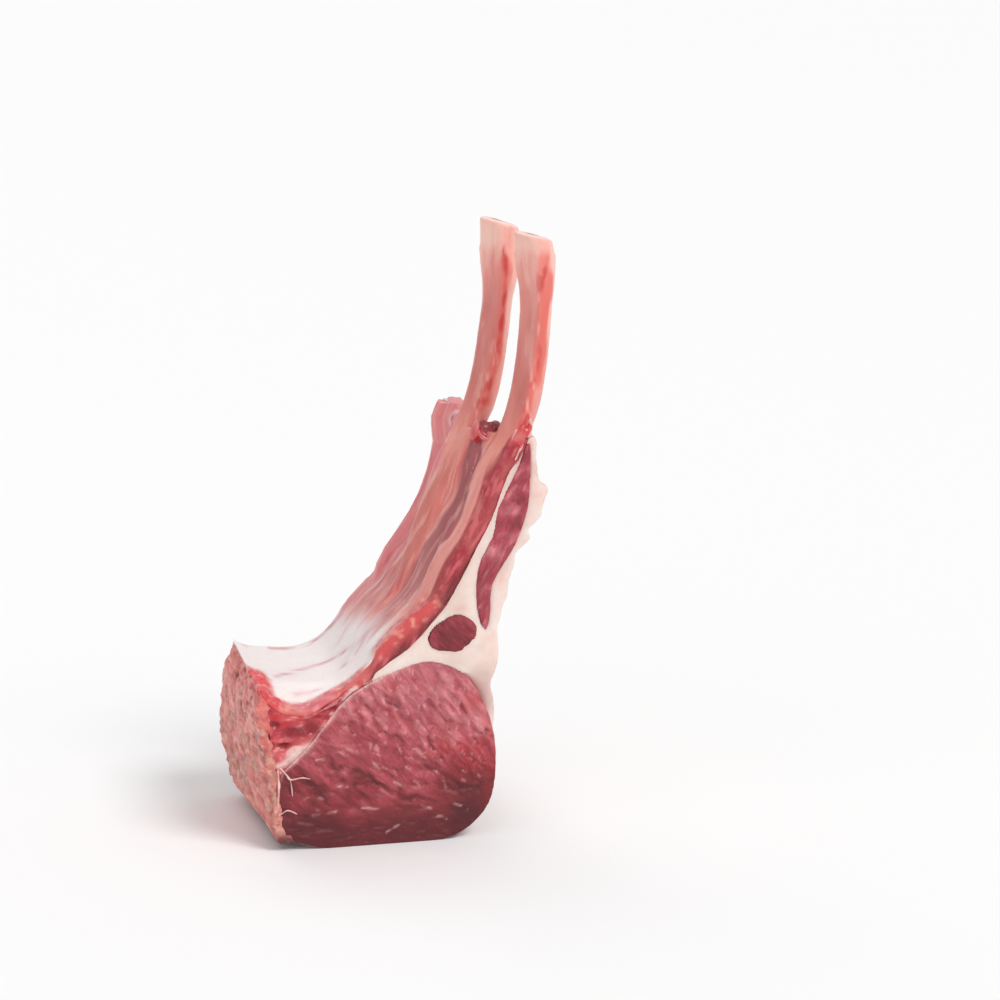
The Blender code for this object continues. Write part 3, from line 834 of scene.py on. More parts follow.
wallShape = {
    "voxel": 0.5, "relax": 7, "ribTop": 126.0, "ribSwell": 0.5,
    # the ribs sink into the wall towards the backbone
    "sinkFrom": 82.0, "sinkTo": 62.0, "sink": (2.6, 0.0, -2.9),
    # section of the hollow side, from the backbone up to the bare bones
    "inner": [(-43.2, 50.4), (-38.5, 46.6), (-34.0, 43.9), (-29.0, 43.7), (-22.0, 47.2), (-15.5, 51.0),
              (-10.5, 55.5), (-6.0, 61.0), (0.5, 67.0), (6.8, 72.0), (11.0, 78.0), (14.8, 86.5),
              (19.0, 94.0), (23.3, 100.8), (25.8, 108.0), (28.8, 114.5), (32.6, 121.6)],
    # and of the side against the fat
    "outer": [(38.4, 121.4), (35.4, 115.5), (31.7, 109.5), (29.1, 102.0), (26.4, 95.5), (22.5, 88.8),
              (18.6, 81.5), (15.0, 75.0), (10.6, 69.0), (6.2, 64.4), (1.6, 59.5), (-3.2, 56.0),
              (-7.8, 52.4), (-9.8, 50.4), (-12.4, 49.4), (-16.2, 47.8), (-21.8, 44.3), (-28.4, 40.7),
              (-33.4, 40.5), (-37.4, 42.3), (-41.6, 45.6)],
    "steps": 4, "stations": 24, "rimDrop": 0.7, "domeRise": 0.1,
    # places along the backbone where the hollow side changes colour, by height
    "heights": (50.0, 66.0, 73.0, 80.0, 92.0, 99.0, 109.0, 116.0, 121.0),
    "edges": {"line": (17.0, 16.5, 15.0, 10.0, 3.0, -0.5, -2.8, -2.2, -1.0),
              "tan": (2.0, 1.0, -1.0, -4.0, -6.8, -6.2, -7.8, -7.5, -7.0),
              "purpleBack": (-8.0, -7.0, -4.2, -5.2, -11.6, -12.4, -12.6, -11.0, -9.3),
              "purpleFront": (-19.0, -17.6, -15.2, -19.5, -23.2, -23.0, -21.2, -17.0, -14.0),
              "paleFront": (-24.0, -24.2, -25.1, -25.5, -26.8, -26.5, -25.9, -25.0, -25.0)},
    # purple and pink streaks in the white lining: x and y, width, strength
    "streaks": [([(-35, -9), (-29.5, -3.5), (-25, 0.4), (-20, 0.8), (-15, -1.2), (-11, -5)], 1.3, 0.75),
                ([(-31, -21), (-28, -20.5), (-24, -21.5)], 1.0, 0.5),
                ([(-19, 25), (-13, 26.5), (-9, 24)], 1.3, 0.9),
                ([(-14, -12), (-9, -10), (-5, -12)], 1.8, 0.6),
                ([(-12, 8), (-7, 12), (-2, 14)], 1.5, 0.35)],
    # the stump of the first rib, at the front cut
    "bulge": [(-7, 59.5), (-2, 64.5), (4, 69), (9, 72.5)], "bulgeRise": 1.1,
    # the meat stands higher round the cut stump of the last rib
    "topRise": (1.0, 5.0), "topLimit": (126.0, 124.6, 124.4),
    "stump": (13.5, 120.6),
    # how far the hollow side moves in at the back, or a little out where it is negative, by height
    "deeper": ((64.0, 69.0, 74.0, 79.0, 84.0, 90.0, 96.0, 112.0, 120.0),
               (0.0, -0.2, -1.7, -0.8, 1.2, 3.4, 4.3, 4.3, 1.5)),
}


def fromSection(points):
    # leans points drawn in the front cut, and lifts the hollow over the backbone behind it
    x, y, z = points[:, 0], points[:, 1], points[:, 2]
    shift = np.interp(z, lean["heights"], lean["amounts"]) * ease(lean["start"], lean["end"], y)
    over = np.exp(-((x - lean["riseX"]) / lean["riseWidth"]) ** 2) * ease(28.0, 42.0, z)
    lift = lean["rise"] * ease(frontY, frontY + 15.0, y) * over
    outside = np.clip((-37.6 - x) / 1.8, 0.0, 1.0)
    back = np.clip((y - frontY) / (backY - frontY), 0.0, 1.0) ** 0.8
    bulge = np.interp(z, lean["bulgeHeights"], lean["bulgeAmounts"]) * back * outside
    return np.stack([x + shift - bulge + lean["shift"], y, z + lift], axis=1)


def pullOutline(bm, outline, start, end, stations):
    # a closed outline in XZ, extruded along Y in many steps
    ring = [bm.verts.new((x, start, z)) for x, z in outline]
    face = bm.faces.new(ring)
    for station in range(stations):
        made = bmesh.ops.extrude_face_region(bm, geom=[face])["geom"]
        if station > 0:
            bm.faces.remove(face)
        face = [part for part in made if isinstance(part, bmesh.types.BMFace)][0]
        verts = [part for part in made if isinstance(part, bmesh.types.BMVert)]
        bmesh.ops.translate(bm, verts=verts, vec=(0.0, (end - start) / stations, 0.0))
    bmesh.ops.triangulate(bm, faces=bm.faces[:])
    bmesh.ops.recalc_face_normals(bm, faces=bm.faces[:])


def standOut(z):
    # the two long bones stand out a little from the meat at their bases
    return 1.3 * np.exp(-((z - 127.0) / 13.0) ** 2)


def deeper(z):
    # how far the hollow side and the third rib move in at the back
    return np.interp(z, *wallShape["deeper"])


def makeRibWall():
    shape = wallShape
    meatNodes = ["rib_meat_0", "rib_meat_1", "rib_meat_2", "rib_meat_3"]
    joined = bmesh.new()
    outline = np.vstack([smoothLine(shape["inner"], shape["steps"]),
                         smoothLine(shape["outer"], shape["steps"])])
    pullOutline(joined, outline, frontY, backY, shape["stations"])
    leaned = fromSection(np.array([vert.co for vert in joined.verts]))
    for vert, place in zip(joined.verts, leaned):
        vert.co = Vector(place) * mm
    for nodeName in ("rib_1", "rib_2", "rib_3"):
        part = mergedNode(nodeName, 0.0, shape["ribTop"])
        for vert in part.verts:
            if nodeName != "rib_3":
                vert.co.x += standOut(vert.co.z / mm) * mm
            sunk = float(ease(shape["sinkFrom"], shape["sinkTo"], vert.co.z / mm))
            # the membrane round each bone thins out upwards
            swell = shape["ribSwell"] - 1.1 * float(ease(110.0, 126.0, vert.co.z / mm))
            vert.co += (vert.normal * swell + Vector(shape["sink"]) * sunk) * mm
        addShape(joined, part)
    piece = remeshed("ribWall", joined, shape["voxel"], shape["relax"])
    points, normals = readSkin(piece)
    x, y, z = toSection(points)
    isCut, distance = cutFaces(points, normals)
    domeCut(points, isCut, distance, shape["rimDrop"], shape["domeRise"])
    lumps = layeredNoise(points, 3.2, 101, 3, (1.0, 1.0, 1.6))
    points += normals * (0.08 * lumps + isCut * (0.45 + 0.4 * ease(-9.0, -13.0, x)) * lumps)[:, None]
    # the sawn stump of the first rib swells out of the front edge
    swollen = np.exp(-(nearestLine(x, z, shape["bulge"]) / 2.6) ** 2) * ease(-19.0, -25.0, y)
    swollen *= 0.75 + 0.7 * layeredNoise(points, 3.0, 119, 2)
    points += np.array((-0.62, 0.0, 0.78)) * (shape["bulgeRise"] * swollen * (1.0 - isCut))[:, None]
    points += np.array((-0.3, -0.3, 0.4)) * (shape["bulgeRise"] * swollen * isCut)[:, None]
    rise = shape["topRise"][0] * ease(0.0, 6.0, y) + shape["topRise"][1] * ease(12.0, 24.0, y)
    points[:, 2] += rise * ease(102.0, 120.0, z)
    over = np.maximum(points[:, 2] - np.interp(y, (-2.0, 6.0, 28.0), shape["topLimit"]), 0.0)
    points[:, 2] -= 0.93 * over * ease(-4.0, 4.0, y)
    points[:, 2] += ease(117.0, 120.0, z) * 1.0 * layeredNoise(points, 3.0, 121, 2)
    # towards the back cut the hollow side moves in, and less and less deeper into the wall
    innerX, innerZ = np.array(shape["inner"][3:]).T
    outerX, outerZ = np.array(shape["outer"][-3::-1]).T
    hollowX = np.interp(z, innerZ, innerX)
    depth = (x - hollowX) / (np.interp(z, outerZ, outerX) - hollowX)
    points[:, 0] += (1.0 - np.clip(depth, 0.0, 1.0)) * deeper(z) * ease(6.0, 15.0, y)
    # lumps of meat along the edge of the lining, at the front cut and beside the backbone
    knobs = layeredNoise(points, 2.6, 127, 2)
    atEdge = ease(-23.0, -26.5, y + 1.5 * knobs) * ease(-9.0, -13.0, x)
    beside = ease(-36.5, -39.5, x + 1.2 * knobs) * ease(0.0, -12.0, y) * ease(44.0, 46.0, z)
    edging = np.maximum(atEdge, beside) * (1.0 - isCut)
    points += normals * (edging * (0.35 + 1.3 * knobs))[:, None]
    writeSkin(piece, points)

    wavy = y + 0.8 * softNoise(z / 14.0, y / 6.0, 0.0, 103) + 0.6 * softNoise(z / 8.0, y / 1.6, 0.0, 107)
    wavy += 0.2 * softNoise(z / 4.0, y / 0.7, 0.0, 108)
    inner = 1.0 - isCut
    edges = {name: np.interp(z, shape["heights"], line) for name, line in shape["edges"].items()}
    fade = ease(60.0, 70.0, z + 0.12 * (y + 28.5) + 2.5 * softNoise(y / 2.5, z / 12.0, 0.0, 109))
    streaky = layeredNoise(points, 2.6, 113, 3, (1.0, 0.55, 4.5))
    threadPlace = wavy - 0.7 * edges["purpleBack"]
    threads = softNoise(threadPlace / 0.9, 1.0, z / 18.0, 133)
    threads += 0.7 * softNoise(threadPlace / 0.45, 3.0, z / 10.0, 135)
    threads += 0.3 * streaky
    setMask(piece, "tone", 0.5 + 0.34 * streaky)
    setMask(piece, "magenta", inner * fade * ease(-0.8, 0.8, wavy - edges["line"]))
    setMask(piece, "tan", inner * ease(66.0, 84.0, z) * band(wavy, edges["tan"], edges["line"], 0.7))
    setMask(piece, "orange", inner * fade * band(wavy, edges["purpleBack"], edges["tan"], 0.9))
    setMask(piece, "purple", inner * ease(50.0, 66.0, z) * (0.40 + 0.60 * ease(62.0, 104.0, z))
            * band(wavy, edges["purpleFront"], edges["purpleBack"], 0.8) * (0.85 + 0.4 * streaky))
    setMask(piece, "palePink", inner * fade * band(wavy, edges["paleFront"], edges["purpleFront"], 0.5))
    light = np.exp(-((wavy - edges["line"]) / 0.9) ** 2)
    light = np.maximum(light, np.exp(-((wavy - edges["purpleBack"] - 0.9) / 0.8) ** 2)
                       * band(z, 84.0, 106.0, 6.0))
    light = np.maximum(light, 0.6 * np.exp(-((wavy - edges["purpleFront"]) / 0.5) ** 2))
    setMask(piece, "lightLine", inner * fade * light * (0.8 + 0.5 * streaky))
    setMask(piece, "paleThreads", inner * fade * ease(0.25, 0.95, threads))
    setMask(piece, "roseThreads", inner * fade * ease(0.25, 0.95, -threads))
    setMask(piece, "lining", inner * (1.0 - fade) * (1.0 - 0.8 * band(y, 24.0, 27.0, 1.5)
            * ease(0.0, 0.4, softNoise(x / 5.0, 0.0, 0.0, 110))))
    streak = np.zeros(len(points))
    for line, width, strength in shape["streaks"]:
        wobble = 0.5 * softNoise(x / 3.0, y / 3.0, 0.0, 111)
        far = nearestLine(x + wobble, y + wobble, smoothLine(line, 4))
        broken = 0.55 + 0.6 * softNoise(x / 2.5, y / 2.5, 0.0, 112)
        streak = np.maximum(streak, strength * broken * (np.exp(-(far / width) ** 2)
                                                         + 0.35 * np.exp(-(far / width / 2.4) ** 2)))
    setMask(piece, "streak", inner * streak * ease(80.0, 66.0, z))
    frontMeat = inner * ease(0.5, -0.4, wavy - edges["paleFront"]) * ease(64.0, 76.0, z)
    meat = np.maximum(isCut * ease(-13.0, -9.0, x), frontMeat)
    # the cut meat is streaked along the ribs
    leaning = math.radians(62.0)
    along = x * math.cos(leaning) + z * math.sin(leaning)
    across = z * math.cos(leaning) - x * math.sin(leaning)
    fibres = softNoise(along / 6.0, 0.0, across / 1.3, 123)
    fibres += 0.6 * softNoise(along / 2.5, 4.0, across / 0.8, 125)
    setMask(piece, "redMeat", meat * (0.85 + 0.3 * lumps))
    besideFat = np.exp(-(nearestLine(x, z, shape["outer"][1:13]) / 3.2) ** 2) * ease(98.0, 82.0, z)
    dark = ease(0.5, 1.3, 0.5 * fibres + 1.1 * besideFat) * 0.75
    rind = np.exp(-(distance / 0.9) ** 2) * ease(-0.2, 0.4, layeredNoise(points, 2.0, 115, 2))
    setMask(piece, "darkMeat", meat * dark)
    setMask(piece, "palePatch", np.maximum(rind * isCut * ease(-9.0, -4.0, x) * 0.7,
                                           meat * ease(0.3, 0.9, -fibres + 0.6 * lumps) * 0.75))
    raggedEdge = isCut * ease(-9.0, -13.0, x) * (0.75 + 0.5 * lumps)
    bulge = np.exp(-(nearestLine(x, z, shape["bulge"]) / 2.4) ** 2) * ease(-20.0, -24.5, y)
    setMask(piece, "coral", np.maximum.reduce([bulge, raggedEdge, edging * 0.9,
                                               0.6 * ease(119.0, 122.0, z) * (y < 5.0)]))
    aroundBones = np.maximum(band(y, -26.0, -18.0, 1.0), band(y, -9.5, -1.5, 1.0))
    setMask(piece, "boneTone", aroundBones * ease(108.0, 117.0, z + 2.0 * streaky) * inner)
    ring = np.hypot(y - shape["stump"][0], z - shape["stump"][1])
    setMask(piece, "ring", inner * ease(3.2, 2.4, ring + 0.8 * lumps))
    setMask(piece, "marrow", inner * ease(1.7, 0.9, ring + 0.6 * lumps))
    lipBand = np.maximum(edging, raggedEdge)
    setMask(piece, "lipRed", lipBand * ease(-33.0, -36.0, x + 1.5 * knobs) * ease(-0.6, 0.2, knobs))
    setMask(piece, "lipPink", lipBand * band(x, -33.0, -16.0, 2.0) * ease(-0.4, 0.3, knobs + 0.5 * lumps))
    lip = patches(x, z, [(-35.1, 43.4, 2.6, 1.0), (-31.0, 43.0, 2.2, 0.9), (-22.0, 46.4, 3.0, 0.6)]) * 0.9
    setMask(piece, "glint", np.maximum.reduce([bulge, raggedEdge, edging * 0.8])
            * np.maximum(ease(0.1, 0.45, layeredNoise(points, 1.8, 117, 2)), lip))
    finishPiece(piece, fleshMaterial(wallLook), "muscle", "rib_lining", *meatNodes)


# ribs, bare above the meat

boneLook = {
    "name": "dampBone",
    "colours": [(0.0, (178, 84, 78)), (0.4, (212, 122, 114)), (0.7, (230, 144, 134)), (1.0, (250, 198, 184))],
    "grainSize": 1.4, "grainStretch": (1.0, 1.0, 6.0), "grainTurn": (0, 8, 0), "grainDepth": 0.25,
    "fineSize": 0.4, "fineDepth": 0.08,
    "layers": [
        ("boneTone", (236, 152, 138), 0.8),
        ("edgeGlow", (232, 108, 96), 0.7),
        ("blood", (200, 48, 50), 0.75),
        ("highlight", (250, 206, 192), 0.75),
        ("sawnEnd", (250, 216, 206), 0.9),
        ("marrow", (186, 52, 60), 0.85),
    ],
    "roughness": (0.28, 0.45), "bump": 0.2, "bumpDepth": 0.25,
    "subsurface": 0.15, "subsurfaceDepth": 1.5, "coat": 0.2, "coatRoughness": 0.2,
}


# for each rib: how much wider it gets towards its sawn end, and how far the end is moved
ribShape = {
    "swell": 0.05, "voxel": 0.42, "relax": 2,
    "flares": (0.28, 0.34, 0.04), "lifts": (0.2, 2.6, 0.0), "shifts": (0.1, 0.7, 0.0), "tilt": 0.30,
    "cornerTurns": 60, "outward": (0.97, -0.24),
}


def makeRibs():
    shape = ribShape
    material = fleshMaterial(boneLook)
    for number, nodeName in enumerate(("rib_1", "rib_2", "rib_3")):
        piece = skinOver("rib" + str(number + 1), nodeName, shape["swell"], shape["voxel"], shape["relax"])
        points, normals = readSkin(piece)
        top = points[:, 2].max()
        # the middle of the bone at every height
        steps = np.arange(56.0, top + 2.0, 2.0)
        middles = []
        for step in steps:
            near = np.abs(points[:, 2] - step) < 2.5
            if not near.any():
                near = points[:, 2] > top - 4
            middles.append(points[near].mean(axis=0))
        middles = np.array(middles)
        middleX = np.interp(points[:, 2], steps, middles[:, 0])
        middleY = np.interp(points[:, 2], steps, middles[:, 1])
        radius = np.hypot(points[:, 0] - middleX, points[:, 1] - middleY)
        isEnd = ease(0.5, 0.85, normals[:, 2]) * ease(top - 3.5, top - 1.5, points[:, 2])
        bumps = layeredNoise(points, 7.0, 131 + number, 3, (1.0, 1.0, 2.5))
        points += normals * ((1.0 - isEnd) * 0.30 * bumps)[:, None]
        # the sawn ends flare, tilt down outwards and are hollow at the marrow
        widening = ease(top - 24.0, top - 7.0, points[:, 2])
        flare = 1.0 + shape["flares"][number] * widening
        points[:, 0] = middleX + (points[:, 0] - middleX) * flare + shape["shifts"][number] * widening
        points[:, 1] = middleY + (points[:, 1] - middleY) * (0.5 + 0.5 * flare)
        atTop = ease(top - 10.0, top, points[:, 2])
        points[:, 2] += atTop * (shape["lifts"][number] - shape["tilt"] * (points[:, 0] - middleX))
        points[:, 2] += isEnd * (0.3 * layeredNoise(points, 1.8, 137, 2) - 0.7 * np.exp(-(radius / 2.2) ** 2))
        points[:, 0] += standOut(points[:, 2]) if number < 2 else deeper(points[:, 2])
        buried = ease(112.0, 104.0, points[:, 2])
        sunk = ease(wallShape["sinkFrom"], wallShape["sinkTo"], points[:, 2])
        points += buried[:, None] * np.array((0.75, 0.0, -0.8))
        points += sunk[:, None] * np.array(wallShape["sink"])
        writeSkin(piece, points)
        if number < 2:
            roundOff(piece, top - 6.0, shape["cornerTurns"])
        streaks = layeredNoise(points, 2.4, 139 + number, 3, (1.0, 1.0, 5.0))
        # from -1 at the hollow side to 1 at the outer side
        outwardX, outwardY = shape["outward"]
        across = (points[:, 0] - middleX) * outwardX + (points[:, 1] - middleY) * outwardY
        widest = [np.abs(across[np.abs(points[:, 2] - step) < 2.5]).max(initial=4.0) for step in steps]
        across = across / np.interp(points[:, 2], steps, widest) + 0.22 * streaks + 0.10 * bumps
        setMask(piece, "tone", 0.46 + 0.22 * bumps + 0.16 * streaks + 0.40 * ease(156.0, 178.0, points[:, 2]))
        glow = ease(0.02, 0.40, across)
        mottled = layeredNoise(points, 3.4, 151 + number, 2, (1.0, 1.0, 2.6))
        cream = ease(0.50, 0.80, across + 0.35 * mottled) * (0.45 + 0.55 * ease(140.0, 156.0, points[:, 2]))
        setMask(piece, "edgeGlow", glow * (1.0 - 0.8 * cream))
        blood = layeredNoise(points, 2.8, 143 + number, 3, (1.0, 1.0, 2.6))
        pale = layeredNoise(points, 2.2, 147 + number, 3, (1.0, 1.0, 4.0))
        setMask(piece, "boneTone", ease(128.0, 116.0, points[:, 2]) * (1.0 - glow))
        ridge = np.exp(-((across - 0.38) / 0.26) ** 2)
        setMask(piece, "blood", ridge * ease(-0.05, 0.30, blood))
        rim = ease(top - 7.0, top - 3.0, points[:, 2] + 0.8 * bumps) * 0.75
        setMask(piece, "highlight", np.maximum.reduce([ease(0.10, 0.40, pale) * (0.25 + 0.5 * glow),
                                                       cream * 0.9, rim * (number < 2)]))
        setMask(piece, "sawnEnd", isEnd)
        setMask(piece, "marrow", isEnd * ease(2.6, 1.6, radius + 0.8 * bumps))
        finishPiece(piece, material, "bone", nodeName)


# sawn side of the backbone

sawnLook = {
    "name": "sawnBackbone",
    "colours": [(0.0, (150, 66, 62)), (0.35, (208, 108, 102)), (0.65, (234, 138, 128)),
                (1.0, (250, 196, 182))],
    "grainSize": 1.1, "grainStretch": (1.0, 1.9, 1.0), "grainDepth": 0.6,
    "fineSize": 0.4, "fineDepth": 0.16,
    "layers": [
        ("grey", (172, 136, 116), 0.6),
        ("raw", (214, 78, 76), 0.8),
        # painted shade in the pits and along the bottom edge
        ("dark", (112, 54, 46), 0.75),
        ("pale", (242, 192, 176), 0.45),
        # painted shade at the foot, beside the eye
        ("chineFootShade", (92, 26, 32), 0.9),
    ],
    "roughness": (0.32, 0.55), "bump": 0.9, "bumpDepth": 0.6,
    "subsurface": 0.08, "subsurfaceDepth": 0.8, "coat": 0.2, "coatRoughness": 0.2,
}

chineShape = {"swell": 0.85, "voxel": 0.42, "relax": 14, "cornerLift": 2.6}


def makeChineBone():
    shape = chineShape
    piece = skinOver("chineBone", "chine_bone", shape["swell"], shape["voxel"], shape["relax"])
    points, normals = readSkin(piece)
    lumps = layeredNoise(points, 7.5, 149, 2, (1.0, 1.0, 1.3))
    rough = layeredNoise(points, 2.6, 151, 3, (1.0, 1.8, 1.0))
    pits = layeredNoise(points, 1.2, 157, 2, (1.0, 1.6, 1.0))
    crumbs = layeredNoise(points, 1.7, 153, 2, (1.0, 1.8, 1.0))
    relief = 0.75 * lumps + 0.60 * rough + 0.45 * pits - 0.6 * ease(0.2, 0.5, crumbs)
    # it is calmer at the foot, where it meets the eye
    calm = ease(9.0, 4.0, points[:, 2]) * ease(-43.0, -39.5, points[:, 0])
    points += normals * (relief * (1.0 - 0.75 * calm))[:, None]
    # the foot of the sawn side is fuller towards the back cut
    sawn = ease(0.2, 0.7, -normals[:, 0]) * ease(-14.0, 16.0, points[:, 1])
    points[:, 0] -= 1.8 * sawn * ease(15.0, 6.0, points[:, 2])
    # the sawn lower corner is chipped off the floor
    corner = ease(10.0, 0.0, points[:, 2]) * ease(-27.0, -34.0, points[:, 0])
    points[:, 2] += corner * shape["cornerLift"] * (0.6 + 0.5 * rough)
    points[:, 2] -= 0.8 * ease(44.0, 50.0, points[:, 2])
    points[:, 2] = np.maximum(points[:, 2], low[2])
    points[:, 1] = np.clip(points[:, 1], frontY - 0.7, backY + 0.7)
    writeSkin(piece, points)
    z = points[:, 2]
    # lighter on the raised lumps and crumbs and darker in the pits, as painted light and shade
    setMask(piece, "tone", 0.5 + 0.30 * rough + 0.15 * pits + 0.12 * lumps)
    inFront = ease(0.3, 0.8, -normals[:, 1]) * ease(34.0, 27.0, z)
    crumbly = layeredNoise(points, 1.9, 169, 3)
    grey = band(z, 12.0, 36.0, 8.0) * ease(-0.1, 0.4, layeredNoise(points, 6.0, 161, 2))
    setMask(piece, "grey", np.maximum(grey, inFront * ease(-0.25, 0.15, crumbly)))
    nearMeat = ease(-42.5, -40.0, points[:, 0]) * ease(10.0, 30.0, z)
    patchy = ease(-0.1, 0.4, layeredNoise(points, 3.5, 165, 3, (1.0, 2.0, 1.0)))
    raw = ease(38.0, 50.0, z) * 0.6 + nearMeat * 0.5 + ease(0.1, 0.5, layeredNoise(points, 8.0, 163, 2)) * 0.5
    setMask(piece, "raw", raw * (0.25 + 0.9 * patchy) * (1.0 - 0.8 * inFront))
    # painted shade in the low ground and the pits between the crumbs, and along the bottom edge
    dark = ease(0.1, 0.5, -rough) * 0.5 + ease(0.25, 0.6, crumbs) * 0.5
    setMask(piece, "dark", dark + ease(3.0, 0.0, z) * 0.4)
    # painted shade at the foot of the sawn side, where it meets the eye near the floor
    setMask(piece, "chineFootShade", ease(8.0, 3.0, z) * ease(-41.0, -36.5, points[:, 0] + 1.5 * rough))
    pale = ease(0.05, 0.45, layeredNoise(points, 2.2, 167, 3, (1.0, 1.8, 1.0)))
    setMask(piece, "pale", np.maximum(pale, 1.3 * inFront * ease(0.1, 0.4, -crumbly)))
    finishPiece(piece, fleshMaterial(sawnLook), "sawn_bone", "chine_bone")


# ragged meat between the backbone, the lining and the eye

backboneMeatLook = {
    "name": "coralMeat",
    "colours": [(0.0, (128, 24, 36)), (0.35, (186, 56, 66)), (0.65, (218, 94, 98)), (1.0, (248, 184, 178))],
    "grainSize": 1.0, "grainStretch": (2.4, 1.0, 0.8), "grainDepth": 0.5,
    "fineSize": 0.4, "fineDepth": 0.15,
    "layers": [
        # the meat's deeper red with painted shade, in the hollows
        ("hollowShade", (140, 16, 32), 0.95),
        ("scarlet", (206, 34, 42), 0.85),
        ("sinew", (250, 208, 198), 0.75),
        ("gristle", (232, 214, 206), 0.9),
    ],
    "roughness": (0.22, 0.42), "bump": 0.5, "bumpDepth": 0.5,
    "subsurface": 0.15, "subsurfaceDepth": 1.2, "coat": 0.35, "coatRoughness": 0.12,
}

# places in the cut: x, z, and how wide and high each patch is
backboneMeatShape = {
    "swell": 0.34, "voxel": 0.42, "relax": 2, "rimDrop": 0.4, "domeRise": 0.0,
    "hollows": [(-32.2, 36.4, 4.2, 2.3), (-27.8, 37.4, 3.0, 2.3), (-38.6, 38.8, 2.0, 1.2),
                (-36.0, 33.0, 2.6, 0.8)],
    "scarlet": [(-38.5, 41.9, 1.8, 1.4), (-39.9, 46.5, 1.4, 2.2), (-41.0, 30.0, 1.5, 3.0),
                (-35.5, 39.5, 2.0, 1.0)],
    # a band of pale gristle along the border of the eye
    "gristle": [(-39.6, 25.6), (-35.9, 27.1), (-32.5, 29.5), (-28.2, 31.8), (-24.0, 35.8), (-21.4, 38.3),
                (-18.8, 43.3), (-13.7, 49.0)],
    "gristleWidth": ((-37.0, -33.0, -24.0, -14.0), (0.7, 1.7, 1.1, 0.5)),
}


def makeBackboneMeat():
    shape = backboneMeatShape
    piece = skinOver("backboneMeat", "backbone_meat", shape["swell"], shape["voxel"], shape["relax"])
    points, normals = readSkin(piece)
    x, y, z = toSection(points)
    isCut, distance = cutFaces(points, normals)
    domeCut(points, isCut, distance, shape["rimDrop"], shape["domeRise"])
    lumps = layeredNoise(points, 3.4, 173, 3, (1.5, 1.0, 0.8))
    fine = layeredNoise(points, 1.3, 179, 2)
    wobbleX = x + 0.7 * softNoise(x / 4.0, 0.0, z / 4.0, 183)
    wobbleZ = z + 0.7 * softNoise(x / 4.0, 5.0, z / 4.0, 185)
    hollowShade = patches(wobbleX, wobbleZ, shape["hollows"])
    ridges = softNoise(x / 4.0, 0.0, z / 1.6 + 0.4 * softNoise(x / 5.0, 0.0, 0.0, 189), 187)
    gristleWidth = np.interp(x, *shape["gristleWidth"])
    gristle = np.exp(-(nearestLine(wobbleX, wobbleZ, shape["gristle"]) / gristleWidth) ** 2)
    relief = 0.8 * lumps + 0.35 * fine + 0.25 * ridges - 1.3 * hollowShade + 0.3 * gristle - 0.3
    points += normals * (isCut * np.minimum(relief, 0.7))[:, None]
    writeSkin(piece, points)
    # lighter on the lumps and darker on the low ground, as painted light and shade
    setMask(piece, "tone", 0.52 + 0.5 * lumps + 0.25 * fine + 0.10 * ridges)
    # the hollows and the low ground between the lumps are painted dark crimson, partly the meat's deeper red
    # and partly painted shade
    setMask(piece, "hollowShade", np.maximum(1.3 * hollowShade, ease(0.4, 0.9, -0.6 * ridges - 1.4 * lumps) * 0.8))
    setMask(piece, "scarlet", patches(wobbleX, wobbleZ, shape["scarlet"]))
    pale = layeredNoise(points, 2.2, 191, 2, (1.6, 1.0, 0.8))
    sinew = ease(0.3, 0.75, 0.4 * ridges + 1.2 * pale) * (1.0 - ease(0.05, 0.35, hollowShade)) * 0.9
    setMask(piece, "sinew", sinew)
    setMask(piece, "gristle", gristle * isCut * (0.8 + 0.5 * fine))
    finishPiece(piece, fleshMaterial(backboneMeatLook), "muscle", "backbone_meat")


# loose strings of fascia over the left of the eye, and torn scraps where the bones were bared

fasciaLook = {
    "name": "paleFascia",
    "colours": [(0.0, (196, 124, 120)), (0.4, (226, 166, 160)), (0.7, (240, 198, 190)),
                (1.0, (252, 228, 222))],
    "grainSize": 1.2, "grainDepth": 0.5, "fineSize": 0.4, "fineDepth": 0.1,
    "layers": [
        ("pink", (206, 106, 112), 0.9),
        ("red", (204, 46, 52), 0.9),
        ("wine", (132, 26, 44), 0.95),
    ],
    "roughness": (0.24, 0.42), "bump": 0.3, "bumpDepth": 0.3,
    "subsurface": 0.15, "subsurfaceDepth": 1.0, "coat": 0.3, "coatRoughness": 0.12,
}

# each string: its path, its radius in the middle
strings = [
    ([(-36.4, -28.6, 25.9), (-34.6, -28.9, 23.6), (-33.4, -29.0, 22.2), (-30.2, -29.0, 22.6),
      (-27.6, -28.9, 22.0)], 0.30),
    ([(-33.6, -28.8, 22.4), (-33.2, -29.0, 19.6), (-33.0, -28.9, 17.0)], 0.24),
    ([(-38.2, -28.6, 11.2), (-36.2, -29.0, 12.0), (-34.4, -29.0, 12.8), (-31.6, -28.8, 11.4)], 0.32),
    ([(-37.2, -28.5, 25.4), (-37.0, -28.9, 20.0), (-37.3, -28.9, 14.4), (-36.4, -28.6, 8.0)], 0.42),
]

